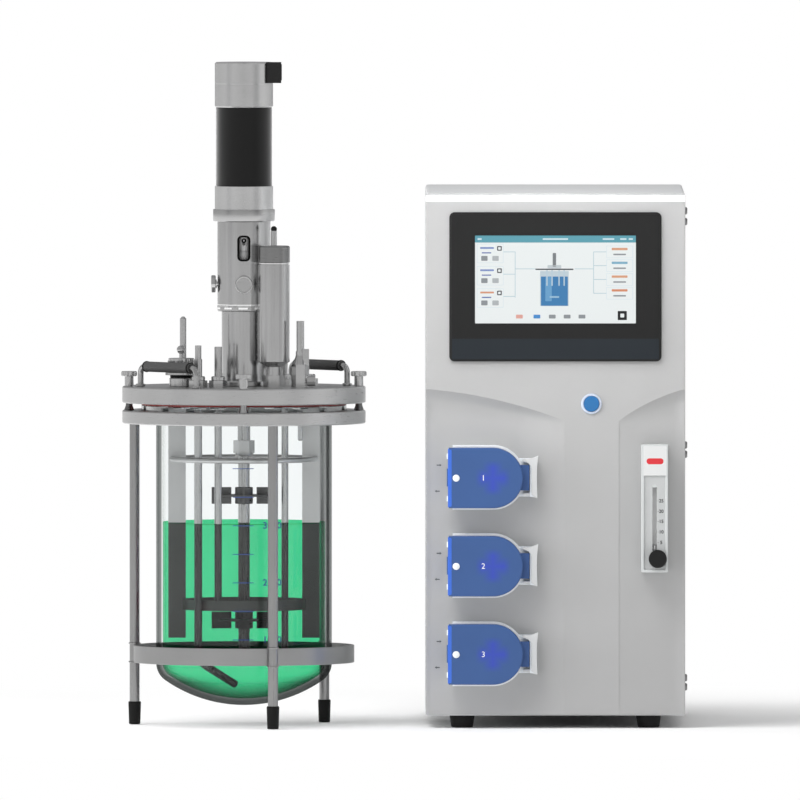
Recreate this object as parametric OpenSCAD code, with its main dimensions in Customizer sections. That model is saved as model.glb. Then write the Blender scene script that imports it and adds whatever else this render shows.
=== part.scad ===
// Bench bioreactor: a glass culture vessel in a steel stand, with its stirrer drive and fittings on
// the head plate, beside a control cabinet with a touch screen, three peristaltic pumps and a gas
// flowmeter. Millimetres, +Z up, the front faces -Y. The origin is the bottom centre of the whole box.

/* [Layout] */
// Distance between the vessel axis and the middle of the cabinet
unit_spacing = 294; // [280:1:360]
// How far the cabinet's front plane stands ahead of the vessel axis
cabinet_lead = 75; // [60:1:110]

/* [Glass vessel] */
// Outer diameter of the glass
glass_od = 166; // [150:1:172]
// Thickness of the glass
glass_wall = 6; // [4:0.5:7]
// Height of the glass's underside above the bench
glass_base_z = 19; // [12:1:26]
// Outer radius of the flat part of the dished bottom
crown_r = 130; // [115:1:160]
// Outer radius of the turn between bottom and wall
knuckle_r = 20; // [14:1:30]
// How far the clamped glass flange reaches past the wall
flange_reach = 14; // [10:0.5:15]
// Thickness of the glass flange
flange_t = 10; // [7:0.5:14]

/* [Head] */
// How far the support ring and the head plate reach past the glass wall
ring_reach = 32; // [30:1:42]
// Thickness of the support ring
ring_t = 12.3; // [10:0.1:16]
// Height of the support ring's underside above the bench
ring_z = 285.6; // [262:0.1:330]
// Depth of the seat for the glass flange in the support ring
seat_depth = 4.9; // [3:0.1:6]
// Thickness of the red head gasket
gasket_t = 2; // [1.5:0.1:3]
// Thickness of the head plate
plate_t = 15.5; // [12:0.5:20]
// Diameter of the clamp knobs' shanks
stud_d = 6; // [5:0.5:8]
// Diameter of the clamp knobs' heads
knob_d = 15; // [12:0.5:18]
// Thickness of the clamp knobs' heads
knob_t = 4.7; // [3:0.1:7]
// Height of the clamp knobs' stems
knob_stem_h = 9.4; // [6:0.1:14]

/* [Stand] */
// Diameter of the legs
leg_d = 9.5; // [8:0.5:11]
// How far the legs stand out from the glass wall, wall to leg axis
leg_offset = 24.2; // [22:0.1:26]
// Diameter of the rubber leg caps
cap_d = 12; // [11.5:0.1:14]
// Height of the rubber leg caps
cap_h = 21.4; // [16:0.1:26]
// Height of the brace band's lower edge above the bench
band_z = 59.5; // [45:0.5:90]
// Height of the brace band
band_h = 16.3; // [10:0.1:24]
// Thickness of the brace band
band_t = 3; // [2:0.1:4]
// Diameter of the handles' rod
handle_rod_d = 5.5; // [5:0.1:7]
// Height of the handles' rod above the head plate
handle_h = 18.9; // [16:0.1:30]
// Diameter of the handles' grips
grip_d = 9.8; // [8:0.1:12]

/* [Drive] */
// Diameter of the bearing housing
housing_d = 42; // [38:1:46]
// Height of the bearing housing
housing_h = 75.7; // [60:0.1:90]
// Diameter of the drive tube
drive_d = 50; // [46:1:51]
// Wall of the drive tube
drive_wall = 4; // [3:0.5:5]
// Height of the drive tube
drive_h = 80.2; // [74:0.1:100]
// Diameter of the motor's flange
motor_flange_d = 58; // [56:1:64]
// Diameter of the motor's base and cap
motor_d = 55; // [52:1:56]
// Height of the motor's black case
motor_case_h = 74.4; // [60:0.1:100]
// Height of the motor's cap
motor_cap_h = 42.8; // [34:0.1:60]
// Diameter of the stirrer shaft in its bearings
shaft_d = 12; // [10:0.1:12.4]
// Diameter of the stirrer shaft in the vessel
shaft_low_d = 11; // [8:0.1:11]
// Gap all round a turning shaft
run_gap = 0.05; // [0.02:0.01:0.1]

/* [Vessel internals] */
// Height of the upper impeller's lower edge
impeller_high_z = 209.2; // [140:0.1:225]
// Height of the lower impeller's lower edge
impeller_low_z = 91.4; // [84:0.1:110]
// Radius to the impeller blades' tips
blade_r = 30.6; // [24:0.1:32]
// Height of the impeller blades
blade_h = 15.8; // [10:0.1:20]
// Outer radius of the baffles
baffle_r = 71.5; // [71:0.1:73]
// Radius of the sparger ring's tube line
sparger_r = 38.7; // [37:0.1:42]
// Height of the sparger ring
sparger_z = 60.5; // [58:0.1:70]

/* [Cabinet] */
// Width of the cabinet
cabinet_w = 245; // [232:1:300]
// Depth of the cabinet's sheet shell
shell_d = 390; // [330:1:440]
// Height of the cabinet's top above the bench
cabinet_top = 504; // [490:1:600]
// Thickness of the cabinet's sheet
sheet_t = 2.2; // [1.5:0.1:3]
// Height of the rubber feet
foot_h = 11.5; // [8:0.5:20]
// Thickness of the front panel's skin
skin_t = 3; // [2:0.5:4]
// How far the front panel's raised part stands proud
relief = 6; // [4:0.5:8]

/* [Screen and button] */
// Width of the screen's bezel
bezel_w = 200; // [180:1:214]
// Height of the screen's bezel
bezel_h = 140.7; // [125:0.1:150]
// Height of the bezel's middle above the bench
bezel_z = 416.2; // [410:0.1:424]
// Width of the screen's glass
screen_w = 152; // [130:1:170]
// Height of the screen's glass
screen_h = 83.2; // [70:0.1:100]
// Diameter of the power button
button_d = 14.9; // [12:0.1:18]
// How far the power button travels
button_travel = 2; // [1:0.1:3]

/* [Pumps] */
// Distance between the pumps
pump_pitch = 83.2; // [74:0.1:86]
// Height of the lowest pump's shaft above the bench
pump_low_z = 70; // [60:0.1:76]
// Radius of the pump covers' round end
cover_r = 28.4; // [27.5:0.1:30]
// How far the pump covers stand off the panel
cover_h = 30; // [29:0.5:34]
// Wall of the pump covers
cover_wall = 2.2; // [1.6:0.1:2.4]
// Radius over the pump rollers
rotor_r = 18; // [15:0.1:18.5]
// Diameter of the pump tubing's channels
tube_slot = 6.6; // [5:0.1:8]

/* [Flowmeter] */
// Width of the flowmeter
flow_w = 25.2; // [22:0.1:30]
// Height of the flowmeter
flow_h = 120.7; // [110:0.1:140]
// How far the flowmeter stands off the panel
flow_t = 24; // [20:0.5:30]
// Diameter of the flowmeter's bore
flow_bore = 6; // [5:0.1:8]
// How far the float can rise
float_travel = 52; // [30:1:54]

/* [Hidden] */
$fn = 64;

// Small shared values
seat_gap = 0.1;          // all round a piece that sits in a socket
loose_gap = 0.3;         // between pieces that must not rub
cut = 1;                 // how far a cut runs past the face it opens
edge = 0.6;              // broken edge on turned and milled steel

// Levels of the vessel unit
seat_z = ring_z + ring_t - seat_depth;
flange_top_z = seat_z + flange_t;
plate_z = flange_top_z + gasket_t;
plate_top_z = plate_z + plate_t;
housing_top_z = plate_top_z + housing_h;
drive_top_z = housing_top_z + drive_h;
motor_flange_t = 11.4;
motor_base_h = 21.7;
case_z = drive_top_z + motor_flange_t + motor_base_h;
cap_z = case_z + motor_case_h;
motor_top_z = cap_z + motor_cap_h;

// Radii of the vessel unit
glass_r = glass_od / 2;
inner_r = glass_r - glass_wall;
flange_r = glass_r + flange_reach;
ring_r = glass_r + ring_reach;
knob_circle_r = ring_r - 6.5;
knob_reach = max(ring_r, knob_circle_r + knob_d / 2);
leg_circle_r = glass_r + leg_offset;
band_r = leg_circle_r - 2.9;
clamp_angles = [0, 90, 180, 270];
leg_angles = [-75, 45, 165];

// Ports in the head plate, from the vessel axis
harvest_at = [-43, -44.2];
thermowell_at = [-24.2, -43.75];
sparger_at = [sparger_r, 0];
condenser_at = [28.4, -30];
foam_at = [53.4, -40];
sampler_at = [-59, -20];
plug_at = [[60, 30], [-50, 46], [2, 64]];
port_d = 12;             // shank of the small port fittings
harvest_d = 7.5;
thermowell_d = 7;
sparger_d = 7;
nut_h = 10.5;

// The cabinet's frame: x from its middle, y from its front plane, z from the bench
shell_y = relief;
cabinet_rear = shell_y + shell_d;
shell_bottom = foot_h;
shell_mid_z = (shell_bottom + cabinet_top) / 2;
screw_head_h = 2;
panel_gap = 0.5;         // shadow gap between the panels and the shell
panel_w = cabinet_w - 2 * sheet_t - 2 * panel_gap;
panel_bottom = shell_bottom + sheet_t + panel_gap;
panel_top = cabinet_top - sheet_t - panel_gap;
panel_h = panel_top - panel_bottom;
skin_rear = relief + skin_t;
button_at = [34, 305.8];
pump_x = 63.5 - cabinet_w / 2;
pump_levels = [for (i = [2, 1, 0]) pump_low_z + i * pump_pitch];
flow_x = cabinet_w / 2 - 29.1;
flow_mid_z = 207.6;
flow_front = relief - flow_t;
flow_knob_l = 12;

// Overall box and the two units' places in it
rear_reach = 15;         // how far the rear hose nipples stand off the rear panel
left_reach = knob_reach;
right_reach = cabinet_w / 2 + screw_head_h;
front_reach = max(knob_reach, cabinet_lead + cover_h - relief,
                  cabinet_lead + flow_knob_l + loose_gap - flow_front);
back_reach = max(knob_reach, cabinet_rear + rear_reach - cabinet_lead);
vessel_x = (left_reach - right_reach - unit_spacing) / 2;
vessel_y = (front_reach - back_reach) / 2;

module at_vessel() { translate([vessel_x, vessel_y, 0]) children(); }
module at_cabinet() { translate([vessel_x + unit_spacing, vessel_y - cabinet_lead, 0]) children(); }
module at_port(place) { at_vessel() translate([place[0], place[1], 0]) children(); }

// ---------- shared shapes ----------

// A turned disc with broken edges, standing on z = 0
module disc(r, h, bevel = edge) {
    rotate_extrude() polygon([
        [0, 0], [r - bevel, 0], [r, bevel], [r, h - bevel], [r - bevel, h], [0, h]
    ]);
}

// A turned ring with broken edges, standing on z = 0
module ring(r_in, r_out, h, bevel = edge) {
    rotate_extrude() polygon([
        [r_in, 0], [r_out - bevel, 0], [r_out, bevel],
        [r_out, h - bevel], [r_out - bevel, h], [r_in, h]
    ]);
}

// A rectangle about the origin with round corners
module round_rect(w, h, r) {
    union() {
        square([w - 2 * r, h], center = true);
        square([w, h - 2 * r], center = true);
        for (x = [-1, 1], y = [-1, 1])
            translate([x * (w / 2 - r), y * (h / 2 - r)]) circle(r);
    }
}

// A flat slab that faces -y: its front face lies on y = 0, and it runs back by t
module slab(t) { translate([0, t, 0]) rotate([90, 0, 0]) linear_extrude(t) children(); }

// A hexagon of width af across its flats, standing on z = 0
module hexagon(af, h) { cylinder(d = af / cos(30), h = h, $fn = 6); }

// A round bar along y, from y = 0 back to y = h
module bar_y(r, h) { rotate([-90, 0, 0]) cylinder(r = r, h = h); }

// A bend of round bar in the xz plane: starts at the origin going up, turns towards +x
module bend(bar_r, turn_r, angle) {
    translate([turn_r, 0, 0]) rotate([90, 0, 0]) rotate([0, 0, 180 - angle])
        rotate_extrude(angle = angle) translate([turn_r, 0]) circle(bar_r, $fn = 32);
}

// ---------- vessel unit ----------

// Half section of a dished vessel: outer radius a, from z = base up to z = top
module dish_half(a, crown, knuckle, base, top) {
    tilt = asin((a - knuckle) / (crown - knuckle));
    knuckle_z = base + crown - (crown - knuckle) * cos(tilt);
    far = crown * 1.2;
    union() {
        intersection() {
            translate([0, base + crown]) circle(crown, $fn = 180);
            polygon([[0, base + crown], [far * sin(tilt), base + crown - far * cos(tilt)],
                     [0, base + crown - far]]);
        }
        translate([a - knuckle, knuckle_z]) circle(knuckle);
        translate([0, knuckle_z]) square([a, top - knuckle_z]);
    }
}

module glass_vessel() {
    color("lightcyan") at_vessel() rotate_extrude() difference() {
        union() {
            dish_half(glass_r, crown_r, knuckle_r, glass_base_z, flange_top_z);
            translate([0, seat_z]) polygon([
                [0, 0], [flange_r - edge, 0], [flange_r, edge], [flange_r, flange_t - edge],
                [flange_r - edge, flange_t], [0, flange_t]
            ]);
        }
        dish_half(inner_r, crown_r - glass_wall, knuckle_r - glass_wall,
                  glass_base_z + glass_wall, flange_top_z + cut);
        translate([-crown_r - cut, -cut]) square([crown_r + cut, flange_top_z + 3 * cut]);
    }
}

module head_gasket() {
    color("firebrick") at_vessel() translate([0, 0, flange_top_z])
        ring(inner_r + 0.5, flange_r, gasket_t, 0.3);
}

module head_plate() {
    color("silver") at_vessel() difference() {
        translate([0, 0, plate_z]) disc(ring_r, plate_t, 1);
        translate([0, 0, plate_z - cut]) cylinder(r = spigot_r + seat_gap, h = plate_t + 2 * cut);
        for (a = clamp_angles) rotate(a) translate([knob_circle_r, 0, plate_z - cut])
            cylinder(d = stud_d + 1, h = plate_t + 2 * cut);
        for (p = concat([harvest_at, thermowell_at, sparger_at, condenser_at, foam_at, sampler_at],
                        plug_at))
            translate([p[0], p[1], plate_z - cut])
                cylinder(d = port_d + 2 * seat_gap, h = plate_t + 2 * cut);
        for (side = [0, 180], end = [0, 1]) rotate(side) translate([handle_feet[end][0],
            handle_feet[end][1], plate_top_z - handle_spigot_h - cut / 2])
            cylinder(d = handle_spigot_d + 2 * seat_gap, h = handle_spigot_h + 2 * cut);
    }
}

module support_ring() {
    color("silver") at_vessel() difference() {
        translate([0, 0, ring_z]) ring(glass_r + 1, ring_r, ring_t, 1);
        translate([0, 0, seat_z]) cylinder(r = flange_r + 0.5, h = seat_depth + cut);
        for (a = clamp_angles) rotate(a) translate([knob_circle_r, 0, ring_z - cut])
            cylinder(d = stud_d + 2 * seat_gap, h = ring_t + 2 * cut);
        for (a = leg_angles) rotate(a) translate([leg_circle_r, 0, ring_z - cut])
            cylinder(d = leg_spigot_d + 2 * seat_gap, h = leg_spigot_h + 0.5 + cut);
    }
}

leg_spigot_d = 6;
leg_spigot_h = 8;
cap_floor = 3;
module legs() {
    color("darkgray") at_vessel() for (a = leg_angles) rotate(a)
        translate([leg_circle_r, 0, 0]) union() {
            translate([0, 0, cap_floor]) cylinder(d = leg_d, h = ring_z - cap_floor);
            translate([0, 0, ring_z - edge]) cylinder(d = leg_spigot_d, h = leg_spigot_h + edge);
        }
}

module brace_band() {
    color("silver") at_vessel() difference() {
        translate([0, 0, band_z]) ring(band_r - band_t, band_r, band_h, 0.4);
        for (a = leg_angles) rotate(a) translate([leg_circle_r, 0, band_z - cut])
            cylinder(d = leg_d + 2 * seat_gap, h = band_h + 2 * cut);
    }
}

module leg_caps() {
    foot_taper = 0.6;
    color("#2b2b2b") at_vessel() for (a = leg_angles) rotate(a) translate([leg_circle_r, 0, 0])
        difference() {
            rotate_extrude() polygon([
                [0, 0], [cap_d / 2 - 2 * foot_taper, 0], [cap_d / 2 - foot_taper, foot_taper],
                [cap_d / 2, cap_h - 1], [cap_d / 2 - 0.4, cap_h], [0, cap_h]
            ]);
            translate([0, 0, cap_floor]) cylinder(d = leg_d + 2 * seat_gap, h = cap_h);
        }
}

// Threaded shanks that the clamp knobs draw down on, with a collar nut on the support ring
stud_nut_h = 5;
module clamp_studs() {
    color("gainsboro") at_vessel() for (a = clamp_angles) rotate(a)
        translate([knob_circle_r, 0, 0]) union() {
            translate([0, 0, ring_z + 1]) cylinder(d = stud_d, h = knob_z - ring_z + knob_bore_h - 1.5);
            translate([0, 0, ring_z + ring_t]) hexagon(11, stud_nut_h);
        }
}

knob_z = plate_top_z;
knob_bore_h = knob_stem_h;
module clamp_knob(angle) {
    scallops = 10;
    stem_r = 4.25;
    color("lightgray") at_vessel() rotate(angle) translate([knob_circle_r, 0, knob_z + loose_gap])
        difference() {
            union() {
                cylinder(r = stem_r, h = knob_stem_h);
                translate([0, 0, knob_stem_h - loose_gap]) disc(knob_d / 2, knob_t, 0.8);
            }
            translate([0, 0, -cut]) cylinder(d = stud_d + 2 * run_gap, h = knob_bore_h + cut);
            for (i = [0:scallops - 1]) rotate((i + 0.5) * 360 / scallops)
                translate([knob_d / 2 + 1.2, 0, knob_stem_h - cut - loose_gap])
                    cylinder(r = 1.8, h = knob_t + 2 * cut, $fn = 24);
        }
}
module clamp_knob_front() { clamp_knob(270); }
module clamp_knob_right() { clamp_knob(0); }
module clamp_knob_rear() { clamp_knob(90); }
module clamp_knob_left() { clamp_knob(180); }

// Both feet of the left handle; the right handle is the same half a turn round
handle_feet = [[-97.5, -10.2], [-44.4, -87.9]];
handle_span = norm(handle_feet[1] - handle_feet[0]);
handle_turn = atan2(handle_feet[1][1] - handle_feet[0][1], handle_feet[1][0] - handle_feet[0][0]);
handle_bend_r = 7;
handle_spigot_d = 4;
handle_spigot_h = 6;
module on_handle() {
    at_vessel() for (side = [0, 180]) rotate(side)
        translate([handle_feet[0][0], handle_feet[0][1], plate_top_z]) rotate(handle_turn) children();
}
module handles() {
    rod_r = handle_rod_d / 2;
    rise = handle_h - handle_bend_r;
    color("silver") on_handle() union() {
        for (foot = [0, handle_span]) translate([foot, 0, 0]) union() {
            cylinder(r = rod_r, h = rise);
            disc(rod_r + 1.8, 2.5, 0.5);
            translate([0, 0, 0.5 - handle_spigot_h])
                cylinder(d = handle_spigot_d, h = handle_spigot_h);
        }
        translate([0, 0, rise]) bend(rod_r, handle_bend_r, 90);
        translate([handle_span, 0, rise]) mirror([1, 0, 0]) bend(rod_r, handle_bend_r, 90);
        translate([handle_bend_r, 0, handle_h]) rotate([0, 90, 0])
            cylinder(r = rod_r, h = handle_span - 2 * handle_bend_r);
    }
}

module handle_grips() {
    grip_l = handle_span - 2 * handle_bend_r - 4;
    color("dimgray") on_handle() translate([handle_bend_r + 2, 0, handle_h]) rotate([0, 90, 0])
        ring(handle_rod_d / 2 + seat_gap, grip_d / 2, grip_l, 0.8);
}

// ---------- stirrer drive ----------

spigot_r = 12;
spigot_h = 10;
bearing_r = 14;
bearing_t = 8;
bearing_low_z = plate_top_z + 6;
bearing_high_z = housing_top_z - bearing_t - 3;
module bearing_housing() {
    lip = 3;
    color("silver") at_vessel() difference() {
        union() {
            translate([0, 0, plate_top_z]) disc(housing_d / 2 + 4, 5, 0.8);
            translate([0, 0, plate_top_z]) cylinder(d = housing_d, h = housing_h - 4.4);
            translate([0, 0, housing_top_z - 5]) disc(drive_d / 2, 5, 0.8);
            translate([0, 0, plate_top_z - spigot_h]) cylinder(r = spigot_r, h = spigot_h + 1);
        }
        translate([0, 0, plate_top_z - spigot_h - cut])
            cylinder(r = shaft_d / 2 + 0.5, h = housing_h + spigot_h + 2 * cut);
        translate([0, 0, bearing_low_z])
            cylinder(r = bearing_r + run_gap, h = housing_top_z - bearing_low_z + cut);
    }
}

module shaft_bearings() {
    color("lightsteelblue") at_vessel() for (z = [bearing_low_z, bearing_high_z])
        translate([0, 0, z]) ring(shaft_d / 2 + run_gap, bearing_r, bearing_t, 0.4);
}

window_w = 12;
window_h = 22.6;
window_z = drive_top_z - 25.3;
lock_z = housing_top_z + 20.8;
lock_r = 8.3;
lock_shank_r = 2.5;
module drive_tube() {
    bore_r = drive_d / 2 - drive_wall;
    color("darkgray") at_vessel() difference() {
        translate([0, 0, housing_top_z]) ring(bore_r, drive_d / 2, drive_h, 0.5);
        translate([0, -drive_d / 2 - cut, window_z]) slab(drive_d / 2)
            round_rect(window_w, window_h, window_w / 2 - 0.01);
        translate([0, 0, lock_z]) {
            translate([0, -drive_d, 0]) bar_y(lock_shank_r + run_gap, drive_d);
            rotate(-90) translate([0, -drive_d, 0]) bar_y(lock_shank_r + run_gap, drive_d);
        }
    }
}

// Thumb screw that locks the drive: its disc lies off the tube, its shank goes in through the wall
module lock_knob() {
    at_vessel() translate([0, 0, lock_z]) children();
}
module thumb_screw() {
    off = drive_d / 2 + 1.6;
    translate([0, -off, 0]) rotate([90, 0, 0]) disc(lock_r, 4.4, 0.8);
    translate([0, -off - 1, 0]) bar_y(lock_shank_r, drive_wall + 3.4);
    translate([0, -off - 0.5, 0]) bar_y(4.2, 1.4);
}
module lock_knob_front() { color("silver") lock_knob() union() { thumb_screw(); } }
module lock_knob_side() { color("silver") lock_knob() rotate(-90) union() { thumb_screw(); } }

// Coupling with two jawed halves, on the motor's output shaft above and the stirrer shaft below
coupling_z = housing_top_z + 34;
coupling_h = 36;
output_r = 4;
module drive_coupling() {
    socket_h = 14;
    jaw_z = coupling_h / 2;
    color("gray") at_vessel() translate([0, 0, coupling_z]) difference() {
        union() {
            disc(15, coupling_h, 0.8);
            translate([0, 0, coupling_h - 1]) cylinder(r = output_r, h = output_rise + 1);
        }
        translate([0, 0, -cut]) cylinder(r = shaft_d / 2 + seat_gap, h = socket_h + cut);
        difference() {
            translate([0, 0, jaw_z - 0.8]) cylinder(r = 16, h = 1.6);
            translate([0, 0, jaw_z - 1]) cylinder(r = 12.5, h = 2);
        }
        translate([0, 0, jaw_z + 7]) rotate([90, 0, 0]) cylinder(r = 1.6, h = 20, $fn = 32);
    }
}
output_rise = drive_top_z - coupling_z - coupling_h + 14;

module motor_base() {
    color("lightgray") at_vessel() difference() {
        union() {
            translate([0, 0, drive_top_z]) disc(motor_flange_d / 2, motor_flange_t, 0.5);
            translate([0, 0, drive_top_z + motor_flange_t - 1]) cylinder(d = motor_d, h = motor_base_h + 1);
        }
        translate([0, 0, drive_top_z - cut])
            cylinder(r = output_r + run_gap, h = 16 + cut);
    }
}

module motor_case() {
    color("#2a2a2a") at_vessel() translate([0, 0, case_z]) cylinder(d = motor_d - 2, h = motor_case_h);
}

connector_w = 14;
connector_d = 22;
connector_h = 19.5;
connector_at = [21.3, -19];
module motor_cap() {
    groove_z = 22.3;
    color("lightgray") at_vessel() translate([0, 0, cap_z]) difference() {
        disc(motor_d / 2, motor_cap_h, 1.2);
        difference() {
            translate([0, 0, groove_z]) cylinder(d = motor_d + 2, h = 0.8);
            translate([0, 0, groove_z - 1]) cylinder(d = motor_d - 1.2, h = 3);
        }
        translate([connector_at[0] - seat_gap, connector_at[1] - seat_gap,
                   motor_cap_h - connector_h - seat_gap])
            cube([connector_w, connector_d + 2 * seat_gap, connector_h + cut]);
    }
}

module motor_connector() {
    color("#262626") at_vessel()
        translate([connector_at[0], connector_at[1], motor_top_z - connector_h]) difference() {
            translate([connector_w / 2, connector_d / 2, 0]) linear_extrude(connector_h)
                round_rect(connector_w, connector_d, 1.5);
            translate([connector_w / 2, connector_d / 2, connector_h - 6]) cylinder(r = 3.5, h = 6 + cut);
        }
}

// ---------- stirrer ----------

shaft_end_z = impeller_low_z - 5;
collar_h = 15;
collar_z = impeller_high_z + 45;
module stirrer_shaft() {
    color("silver") at_vessel() union() {
        translate([0, 0, shaft_end_z]) disc(shaft_low_d / 2, collar_z + 2 - shaft_end_z, 0.8);
        translate([0, 0, collar_z + 1])
            cylinder(d = shaft_d, h = coupling_z + 13 - collar_z - 1);
    }
}

module shaft_collar() {
    color("darkgray") at_vessel() translate([0, 0, collar_z]) difference() {
        union() {
            translate([0, 0, 3]) hexagon(17.4, collar_h - 3);
            disc(9, 4, 0.6);
        }
        translate([0, 0, -cut]) cylinder(r = shaft_d / 2 + seat_gap, h = collar_h + 2 * cut);
    }
}

module impeller() {
    hub_r = 8.5;
    blade_in_r = 11.9;
    blade_t = 2;
    disc_t = 1.6;
    difference() {
        union() {
            disc(hub_r, blade_h, 0.6);
            translate([0, 0, (blade_h - disc_t) / 2]) cylinder(r = blade_r - 7, h = disc_t);
            for (a = clamp_angles) rotate(a) translate([blade_in_r, -blade_t / 2, 0])
                cube([blade_r - blade_in_r, blade_t, blade_h]);
        }
        translate([0, 0, -cut]) cylinder(r = shaft_low_d / 2 + seat_gap, h = blade_h + 2 * cut);
        translate([0, 0, blade_h / 4]) rotate([90, 0, 45]) cylinder(r = 1.2, h = hub_r + 1, $fn = 24);
    }
}
module impellers() {
    color("gray") at_vessel() for (z = [impeller_low_z, impeller_high_z])
        translate([0, 0, z]) impeller();
}

// Two baffles hung from the head plate, tied by a round ring above and a flat band below
// Two strips that hang from the head plate, and half hoops tacked between their flat sides
module baffle_cage() {
    strip_w = 16.5;
    strip_t = 2;
    strip_low_z = 82.6;
    strip_in_r = baffle_r - strip_w;
    hoop_bar_r = 2.5;
    hoop_z = 251.6;
    hoop_inset = 1.1;
    band_z = 109.4;
    band_h = 9.9;
    band_t = 2;
    tack_gap = 0.04;
    color("dimgray") at_vessel() {
        for (a = [0, 180]) rotate(a) translate([strip_in_r, -strip_t / 2, strip_low_z])
            cube([strip_w, strip_t, plate_z - strip_low_z]);
        difference() {
            union() {
                translate([0, 0, hoop_z]) rotate_extrude()
                    translate([baffle_r - hoop_inset - hoop_bar_r, 0]) circle(hoop_bar_r, $fn = 32);
                translate([0, 0, band_z]) ring(strip_in_r + 1, strip_in_r + 1 + band_t, band_h, 0.3);
            }
            translate([-baffle_r - cut, -strip_t / 2 - tack_gap, strip_low_z])
                cube([2 * (baffle_r + cut), strip_t + 2 * tack_gap, plate_z - strip_low_z]);
        }
    }
}

module sparger() {
    holes = 12;
    hole_r = 0.7;
    feed_r = sparger_d / 2 - 0.2;
    hose_end_r = feed_r - 0.75;
    top_z = plate_top_z + 24.5;
    feed_z = sparger_z + 1;
    color("darkgray") at_vessel() difference() {
        union() {
            translate([0, 0, sparger_z]) rotate_extrude()
                translate([sparger_r, 0]) circle(sparger_d / 2, $fn = 32);
            translate([sparger_at[0], sparger_at[1], 0]) {
                translate([0, 0, feed_z]) cylinder(r = feed_r, h = top_z - hose_end_l - feed_z);
                translate([0, 0, feed_z]) cylinder(r = feed_r + 0.9, h = 5);
                translate([0, 0, top_z - hose_end_l - cut]) cylinder(r = hose_end_r, h = hose_end_l + cut);
            }
        }
        for (i = [0:holes - 1]) rotate((i + 0.5) * 360 / holes)
            translate([sparger_r, 0, sparger_z - sparger_d]) cylinder(r = hole_r, h = sparger_d, $fn = 16);
    }
}

// Suction tube that turns in to the lowest point of the glass, its lengths brazed to the bend
hose_end_l = 13;
module harvest_tube() {
    tube_r = harvest_d / 2;
    turn_r = 18;
    turn = 65;
    bend_z = 73.5;
    tip_l = 43;
    hose_end_r = tube_r - 0.75;
    top_z = plate_top_z + 39.5;
    toward = atan2(-harvest_at[1], -harvest_at[0]);
    color("darkgray") at_port(harvest_at) rotate(toward) union() {
        translate([0, 0, bend_z]) cylinder(r = tube_r, h = top_z - hose_end_l - bend_z);
        translate([0, 0, top_z - hose_end_l - cut]) cylinder(r = hose_end_r, h = hose_end_l + cut);
        translate([0, 0, bend_z]) mirror([0, 0, 1]) bend(tube_r, turn_r, turn);
        translate([0, 0, bend_z]) braze_ring(tube_r);
        translate([turn_r * (1 - cos(turn)), 0, bend_z - turn_r * sin(turn)])
            rotate([0, 180 - turn, 0]) {
                cylinder(r = tube_r, h = tip_l);
                braze_ring(tube_r);
            }
    }
}
module braze_ring(tube_r) {
    translate([0, 0, -0.4]) cylinder(r = tube_r + 0.06, h = 0.8);
}

module thermowell() {
    low_z = 112;
    bore_r = thermowell_d / 2 - 0.8;
    rise = plate_top_z + 38.3 - low_z;
    color("darkgray") at_port(thermowell_at) translate([0, 0, low_z]) rotate_extrude() polygon([
        [0, 0], [thermowell_d / 2 - 1, 0], [thermowell_d / 2, 1],
        [thermowell_d / 2, rise], [bore_r, rise], [bore_r, 3], [0, 3]
    ]);
}

// Hexagon fittings of the small ports, and plugs in the ports that stand empty
module port_fitting(tube_d, af) {
    neck_h = 4;
    translate([0, 0, plate_top_z]) difference() {
        union() {
            hexagon(af, nut_h - neck_h);
            translate([0, 0, nut_h - neck_h - 0.5]) disc(af / 2 - 1, neck_h + 0.5, 0.8);
            translate([0, 0, 1 - plate_t]) cylinder(d = port_d, h = plate_t);
        }
        if (tube_d > 0) translate([0, 0, -plate_t - cut])
            cylinder(d = tube_d + 2 * seat_gap, h = plate_t + nut_h + 2 * cut);
    }
}
module port_nuts() {
    color("silver") {
        at_port(harvest_at) port_fitting(harvest_d, 15);
        at_port(thermowell_at) port_fitting(thermowell_d, 15);
        at_port(sparger_at) port_fitting(sparger_d, 14);
        for (p = plug_at) at_port(p) port_fitting(0, 17);
    }
}

// Jacketed condenser on a hexagon fitting, its water nipples to the rear and its gas nipple on top
condenser_r = 14.9;
condenser_top_z = plate_top_z + 133.4;
nipple_r = 2.9;
nipple_h = 14;
water_nipple_r = 2.4;
water_nipple_l = 9;
module condenser() {
    nut_af = 17.5;
    condenser_nut_h = 11;
    neck_r = 8;
    neck_h = 11;
    cone_h = 5;
    jacket_z = plate_top_z + condenser_nut_h + neck_h + 2;
    cap_h = 16.8;
    groove_h = 1.2;
    jacket_h = condenser_top_z - cap_h - groove_h - jacket_z;
    nipple_zs = [jacket_z + 14, jacket_z + jacket_h - 16];
    gas_bore_r = 3;
    color("silver") at_port(condenser_at) difference() {
        union() {
            translate([0, 0, plate_top_z]) hexagon(nut_af, condenser_nut_h);
            translate([0, 0, plate_top_z + 1 - plate_t]) cylinder(d = port_d, h = plate_t);
            translate([0, 0, plate_top_z + condenser_nut_h - cut]) cylinder(r = neck_r, h = neck_h + cut);
            translate([0, 0, jacket_z - cone_h]) cylinder(r1 = neck_r, r2 = condenser_r, h = cone_h);
            translate([0, 0, jacket_z - 0.01]) cylinder(r = condenser_r, h = jacket_h + 0.01);
            translate([0, 0, jacket_z + jacket_h - cut])
                cylinder(r = condenser_r - 1, h = groove_h + 2 * cut);
            translate([0, 0, condenser_top_z - cap_h]) disc(condenser_r, cap_h, 2);
            translate([0, 0, condenser_top_z - cut]) cylinder(r = nipple_r, h = nipple_h + cut);
            for (z = nipple_zs) translate([0, condenser_r - 2, z])
                bar_y(water_nipple_r, water_nipple_l + 2);
        }
        translate([0, 0, plate_z - cut])
            cylinder(r = gas_bore_r, h = jacket_z - plate_z + cut);
    }
}

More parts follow.
